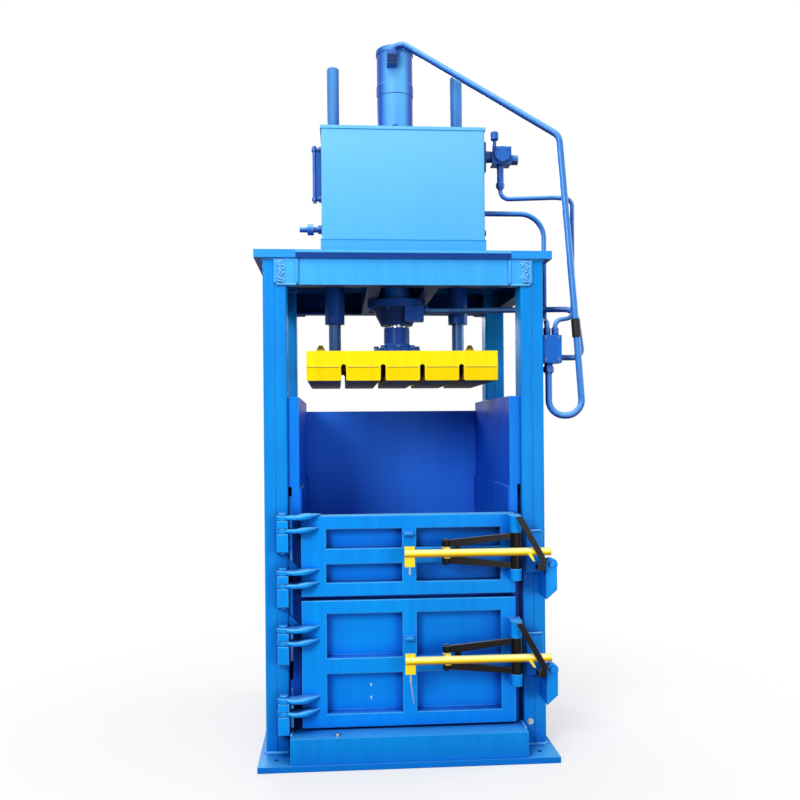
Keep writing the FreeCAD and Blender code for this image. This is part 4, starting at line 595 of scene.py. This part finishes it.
# the undersides of the platen and of the press bars are painted near black: painted shade
platen_yellow = sprayed_enamel("yellow gloss enamel on the platen", "FFEE02", "F2C400", "2A1C00",
                               "FFF68A", "FFF032", "141004", zones=[(*tab_zone, "1A1C22")],
                               roughness=0.4, gloss=0.1, reach=0.12)
bar_yellow = sprayed_enamel("yellow gloss enamel on the press bars", "FFE000", "E8AC00",
                            "0C0800", "FFF27A", "FFE860", "060400", roughness=0.4, gloss=0.05,
                            reach=0.12)
dress(platen_yellow, "platen")
dress(bar_yellow, "press_bars")
bars_low, bars_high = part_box("press_bars")
bar_count = 5
strap_gap = 0.022
bar_width = (bars_high[0] - bars_low[0] - (bar_count - 1) * strap_gap) / bar_count
weld_stop = 0.006  # each weld ends this far short of its bar's corners
bar_welds = []
for index in range(bar_count):
    left = bars_low[0] + index * (bar_width + strap_gap)
    for face_y in (bars_low[1], bars_high[1]):
        bar_welds.append(bead((left + weld_stop, face_y, bars_high[2]),
                              (left + bar_width - weld_stop, face_y, bars_high[2]), 0.0035))
piece("press_bar_welds", bar_welds, bar_yellow, "ram")

# ------------------------------------------------------------------ oil tank and its fittings
# A box of 5 mm sheet with a folded lid and a skirt, in a paler blue; gauge, drain and relief
# valve are screwed into it.
tank_low, tank_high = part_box("oil_tank")
skirt_top = tank_low[2] + 0.054
painted_light_from, painted_light_to = 2.24, 2.62  # the tank is painted paler towards the top, painted light from above
tank_blue = sprayed_enamel("pale blue gloss enamel on sheet", "5CB6EE", "42A6E8", "1A62B8",
                           "38B0F6", "84D2FA", "2F8FE0", roughness=0.36,
                           zones=[("Z", painted_light_from, painted_light_to, "6EBEF0"),
                                  ("Z", skirt_top + 0.003, skirt_top, "2A84D4"),
                                  ("Z", skirt_top - 0.004, skirt_top - 0.008, "48AAEA")])
fitting_navy = sprayed_enamel("navy enamel on fittings", "2A70CC", "103C8C", "030C24", "7CC0FC",
                              "5CA8F0", "081C48", roughness=0.24, gloss=0.3, round_mm=2.0)
dress(tank_blue, "oil_tank", "breather")
dress(fitting_navy, "level_gauge", "motor", "pump", "relief_valve", "relief_knob")
weld_sunk = 0.002
weld_y, weld_z = tank_low[1] + weld_sunk, tank_low[2] + weld_sunk
tank_welds = [bead((tank_low[0], weld_y, skirt_top), (tank_high[0], weld_y, skirt_top), 0.0028,
                   0.012),
              bead((tank_low[0], weld_y, weld_z), (tank_high[0], weld_y, weld_z), 0.006, 0.014)]
for side_x in (tank_low[0] + weld_sunk, tank_high[0] - weld_sunk):
    tank_welds.append(bead((side_x, tank_low[1], weld_z), (side_x, tank_high[1], weld_z), 0.006,
                           0.014))
piece("tank_weld_beads", tank_welds, tank_blue, "frame")
# plugs in the tank's lid and right side, nuts where the gauge and the drain enter its left
# side, and on the relief valve four screws in its round cover and a hexagon flush in its end
side_in = 0.0045  # the lip and skirt stand 4 mm proud of the sides, and the nuts sink 0.5 mm
tank_fittings = hex_head((-0.030, tank_low[1] + 0.020, tank_high[2] - 0.0005), (0, 0, 1), 0.022,
                         0.013)
tank_fittings += hex_head((tank_high[0] - side_in, tank_low[1] + 0.08, 2.250), (1, 0, 0), 0.026,
                          0.016)
gauge_low, gauge_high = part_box("level_gauge")
gauge_y = (gauge_low[1] + gauge_high[1]) / 2
gauge_end = 0.016
for level in (gauge_low[2] + gauge_end, gauge_high[2] - gauge_end):
    tank_fittings += hex_head((tank_low[0] + side_in, gauge_y, level), (-1, 0, 0), 0.026, 0.012)
drain_low, drain_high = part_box("drain_valve")
drain_level = (drain_low[2] + drain_high[2]) / 2
tank_fittings += hex_head((tank_low[0] + side_in, gauge_y, drain_level), (-1, 0, 0), 0.034, 0.018)
valve_low, valve_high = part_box("relief_valve")
valve_x, valve_z = 0.456, 2.6165  # the middle of the cover
for aside in (-0.021, 0.021):
    for above in (-0.021, 0.021):
        tank_fittings += hex_head((valve_x + aside, valve_low[1] + 0.0005, valve_z + above),
                                  (0, -1, 0), 0.010, 0.006)
tank_fittings += hex_head((valve_high[0] - 0.0125, -0.300, 2.6045), (1, 0, 0), 0.030, 0.0125)
piece("tank_fittings", tank_fittings, fitting_navy, "frame")

# ------------------------------------------------------------------ control valve and pipes
# Cold drawn steel tube, bent cold and painted, with a union nut at each end; a rubber lined
# band clamps the long pipe, and the valve block has a cap screw in each corner.
pipe_blue = sprayed_enamel("blue gloss enamel on drawn tube", "3A8ADC", "164CA8", "061840",
                           "8CC8FF", "78C0F8", "0C3080", roughness=0.24, gloss=0.3, round_mm=1.5)
dress(pipe_blue, "top_port_pipe", "lower_port_pipe", "pressure_pipe", "return_pipe",
      "drain_valve")
valve_blue = sprayed_enamel("blue gloss enamel on the valve block", "1A6CD0", "0E46A0", "04102E",
                            "5CA8F0", "4C98E8", "0A2458", roughness=0.3)
dress(valve_blue, "control_valve")


def union_nut(base, way, flats, height):
    """A hexagon nut chamfered at both ends, with a round collar behind it."""
    corner = flats / 2 / math.cos(math.pi / 6)
    nut = lathe([(0.001, 0.0), (corner * 0.88, 0.0), (corner, corner * 0.12),
                 (corner, height - corner * 0.12), (corner * 0.88, height), (0.001, height)],
                base, way, sides=6)
    collar = lathe([(0.001, height - 0.001), (flats * 0.42, height - 0.001),
                    (flats * 0.38, height + 0.007), (0.001, height + 0.007)], base, way)
    return [nut, collar]


control_low, control_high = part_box("control_valve")
valve_top = control_high[2]
unions = []
for base, way, flats, height in (
        ((-0.020, -0.112, 3.150), (0, 0, 1), 0.044, 0.022),  # top port of the barrel
        ((0.636, -0.440, 1.658), (0, 0, -1), 0.042, 0.026),  # under the valve block
        ((0.120, -0.100, 1.948), (1, 0, 0), 0.038, 0.024),  # port block of the gland
        ((0.654, -0.390, 1.706), (0, 1, 0), 0.036, 0.022),  # back of the valve block
        ((0.455, -0.300, 2.500), (0, 0, -1), 0.034, 0.024),  # under the relief valve
        ((0.666, -0.440, valve_top), (0, 0, 1), 0.029, 0.022),  # right, on top of the block
        ((0.355, -0.230, 2.378), (1, 0, 0), 0.034, 0.022),  # right side of the tank
        ((0.630, -0.440, valve_top), (0, 0, 1), 0.029, 0.022)):  # left, on top of the block
    unions += union_nut(base, way, flats, height)
piece("pipe_union_nuts", unions, fitting_navy, "frame")
valve_screws = []
for screw_x in (0.614, 0.672):
    for screw_z in (1.686, 1.779):
        valve_screws += hex_head((screw_x, control_low[1] + 0.0005, screw_z), (0, -1, 0), 0.013,
                                 0.007)
piece("valve_cap_screws", valve_screws, fitting_navy, "frame")

rubber_black = sprayed_enamel("black rubber lined band", "0C0C0E", "050506", "020202", "2A2A2E",
                              "1C1C20", "050506", roughness=0.6, gloss=0.3, round_mm=1.0)
clamp_start = (0.7570, -0.440, 1.867)
pipe_fall = (0.036, 0.0, -0.492)  # the long pipe's direction where the clamp holds it
clamp_length, clamp_bore, clamp_end, clamp_radius = 0.080, 0.012, 0.019, 0.0195
piece("pipe_clamp", [lathe([(clamp_bore, 0.0), (clamp_end, 0.0), (clamp_radius, 0.004),
                            (clamp_radius, clamp_length - 0.004), (clamp_end, clamp_length),
                            (clamp_bore, clamp_length)], clamp_start, pipe_fall)],
      rubber_black, "frame")

# ------------------------------------------------------------------ floor, light and camera
# A plain pale floor that runs out into a white background, soft lamps, and the camera at the
# place from which the machine was seen: 4.2 m away at breast height, a little to the left.


def pale_floor():
    """A matt floor that keeps the machine's shadow and turns plain white further away."""
    matt = bpy.data.materials.new("pale matt floor")
    matt.use_nodes = True
    tree = matt.node_tree
    tree.nodes.clear()
    place = add(tree, "ShaderNodeTexCoord").outputs["Object"]
    away = add(tree, "ShaderNodeVectorMath", {0: place}, operation="LENGTH")
    far = add(tree, "ShaderNodeMapRange", {"Value": away.outputs["Value"], "From Min": 0.6,
                                          "From Max": 2.2})
    seen = add(tree, "ShaderNodeLightPath")
    pale = add(tree, "ShaderNodeMapRange", {"Value": far.outputs[0], "To Min": 0.55, "To Max": 1.0})
    straight = add(tree, "ShaderNodeMath", {0: seen.outputs["Is Camera Ray"], 1: pale.outputs[0]},
                   operation="MULTIPLY")
    watched = add(tree, "ShaderNodeMath", {0: seen.outputs["Is Camera Ray"],
                                           1: seen.outputs["Is Glossy Ray"]}, operation="MAXIMUM")
    tint = add(tree, "ShaderNodeMixRGB", {"Fac": watched.outputs[0], "Color1": (0.34, 0.34, 0.34, 1),
                                         "Color2": (0.9, 0.9, 0.9, 1)})
    body = add(tree, "ShaderNodeBsdfDiffuse", {"Color": tint.outputs[0]})
    white = add(tree, "ShaderNodeEmission", {"Color": (1, 1, 1, 1), "Strength": 1.0})
    both = add(tree, "ShaderNodeMixShader", {"Fac": straight.outputs[0], 1: body.outputs[0],
                                            2: white.outputs[0]})
    add(tree, "ShaderNodeOutputMaterial", {"Surface": both.outputs[0]})
    return matt


floor_half = 30.0
floor_mesh = bpy.data.meshes.new("floor")
floor_mesh.from_pydata([(-floor_half, -floor_half, 0), (floor_half, -floor_half, 0),
                        (floor_half, floor_half, 0), (-floor_half, floor_half, 0)], [],
                       [(0, 1, 2, 3)])
floor_mesh.materials.append(pale_floor())
floor = bpy.data.objects.new("floor", floor_mesh)
bpy.context.scene.collection.objects.link(floor)

world = bpy.data.worlds.new("white studio")
world.use_nodes = True
bpy.context.scene.world = world
sky = world.node_tree
sky.nodes.clear()
path = add(sky, "ShaderNodeLightPath")
direct = add(sky, "ShaderNodeMath", {0: path.outputs["Is Camera Ray"],
                                     1: path.outputs["Is Glossy Ray"]}, operation="MAXIMUM")
shown = add(sky, "ShaderNodeMath", {0: direct.outputs[0], 1: path.outputs["Is Transmission Ray"]},
            operation="MAXIMUM")
level = add(sky, "ShaderNodeMapRange", {"Value": shown.outputs[0], "To Min": 0.21, "To Max": 1.0})
dome = add(sky, "ShaderNodeBackground", {"Color": (1, 1, 1, 1), "Strength": level.outputs[0]})
add(sky, "ShaderNodeOutputWorld", {"Surface": dome.outputs[0]})


def soft_box(name, place, target, width, height, power):
    """A soft rectangular lamp aimed at a point."""
    lamp = bpy.data.lights.new(name, "AREA")
    lamp.shape = "RECTANGLE"
    lamp.size = width
    lamp.size_y = height
    lamp.energy = power
    made = bpy.data.objects.new(name, lamp)
    made.location = place
    made.rotation_euler = (Vector(target) - Vector(place)).to_track_quat("-Z", "Y").to_euler()
    bpy.context.scene.collection.objects.link(made)


soft_box("key_lamp", (-2.6, -5.2, 3.4), (0, -0.3, 1.3), 1.8, 1.8, 205.0)
soft_box("top_lamp", (-0.9, -2.6, 5.4), (0, -0.3, 1.2), 1.4, 1.4, 66.0)
soft_box("fill_lamp", (2.3, -5.2, 1.0), (0, -0.3, 0.7), 2.6, 2.0, 76.0)
soft_box("side_lamp", (5.2, 0.8, 2.6), (0, 0, 1.4), 2.4, 2.4, 120.0)
soft_box("back_lamp", (-1.0, 5.0, 3.6), (0, 0, 1.5), 3.0, 2.0, 190.0)

# the camera was fitted to the columns, ledges and depth lines of the picture
camera_place = Vector((-0.289, -4.159, 1.392))
camera_yaw = math.radians(4.146)
camera_pitch = math.radians(-0.081)
camera_roll = math.radians(-0.463)
focal_share = 860.8 / 800  # focal length over the picture's width
horizon_drop = 29.67 / 800  # how far below the middle the lens axis meets the picture
forward = Vector((math.sin(camera_yaw) * math.cos(camera_pitch),
                  math.cos(camera_yaw) * math.cos(camera_pitch), math.sin(camera_pitch)))
level_right = Vector((math.cos(camera_yaw), -math.sin(camera_yaw), 0))
level_up = level_right.cross(forward)
right = level_right * math.cos(camera_roll) + level_up * math.sin(camera_roll)
upward = level_up * math.cos(camera_roll) - level_right * math.sin(camera_roll)
lens = bpy.data.cameras.new("camera")
lens.sensor_width = 36.0
lens.lens = focal_share * lens.sensor_width
lens.shift_y = horizon_drop
camera = bpy.data.objects.new("camera", lens)
turn = Matrix((right, upward, -forward)).transposed()
camera.matrix_world = Matrix.Translation(camera_place) @ turn.to_4x4()
bpy.context.scene.collection.objects.link(camera)
bpy.context.scene.camera = camera
bpy.context.scene.view_settings.view_transform = "Standard"
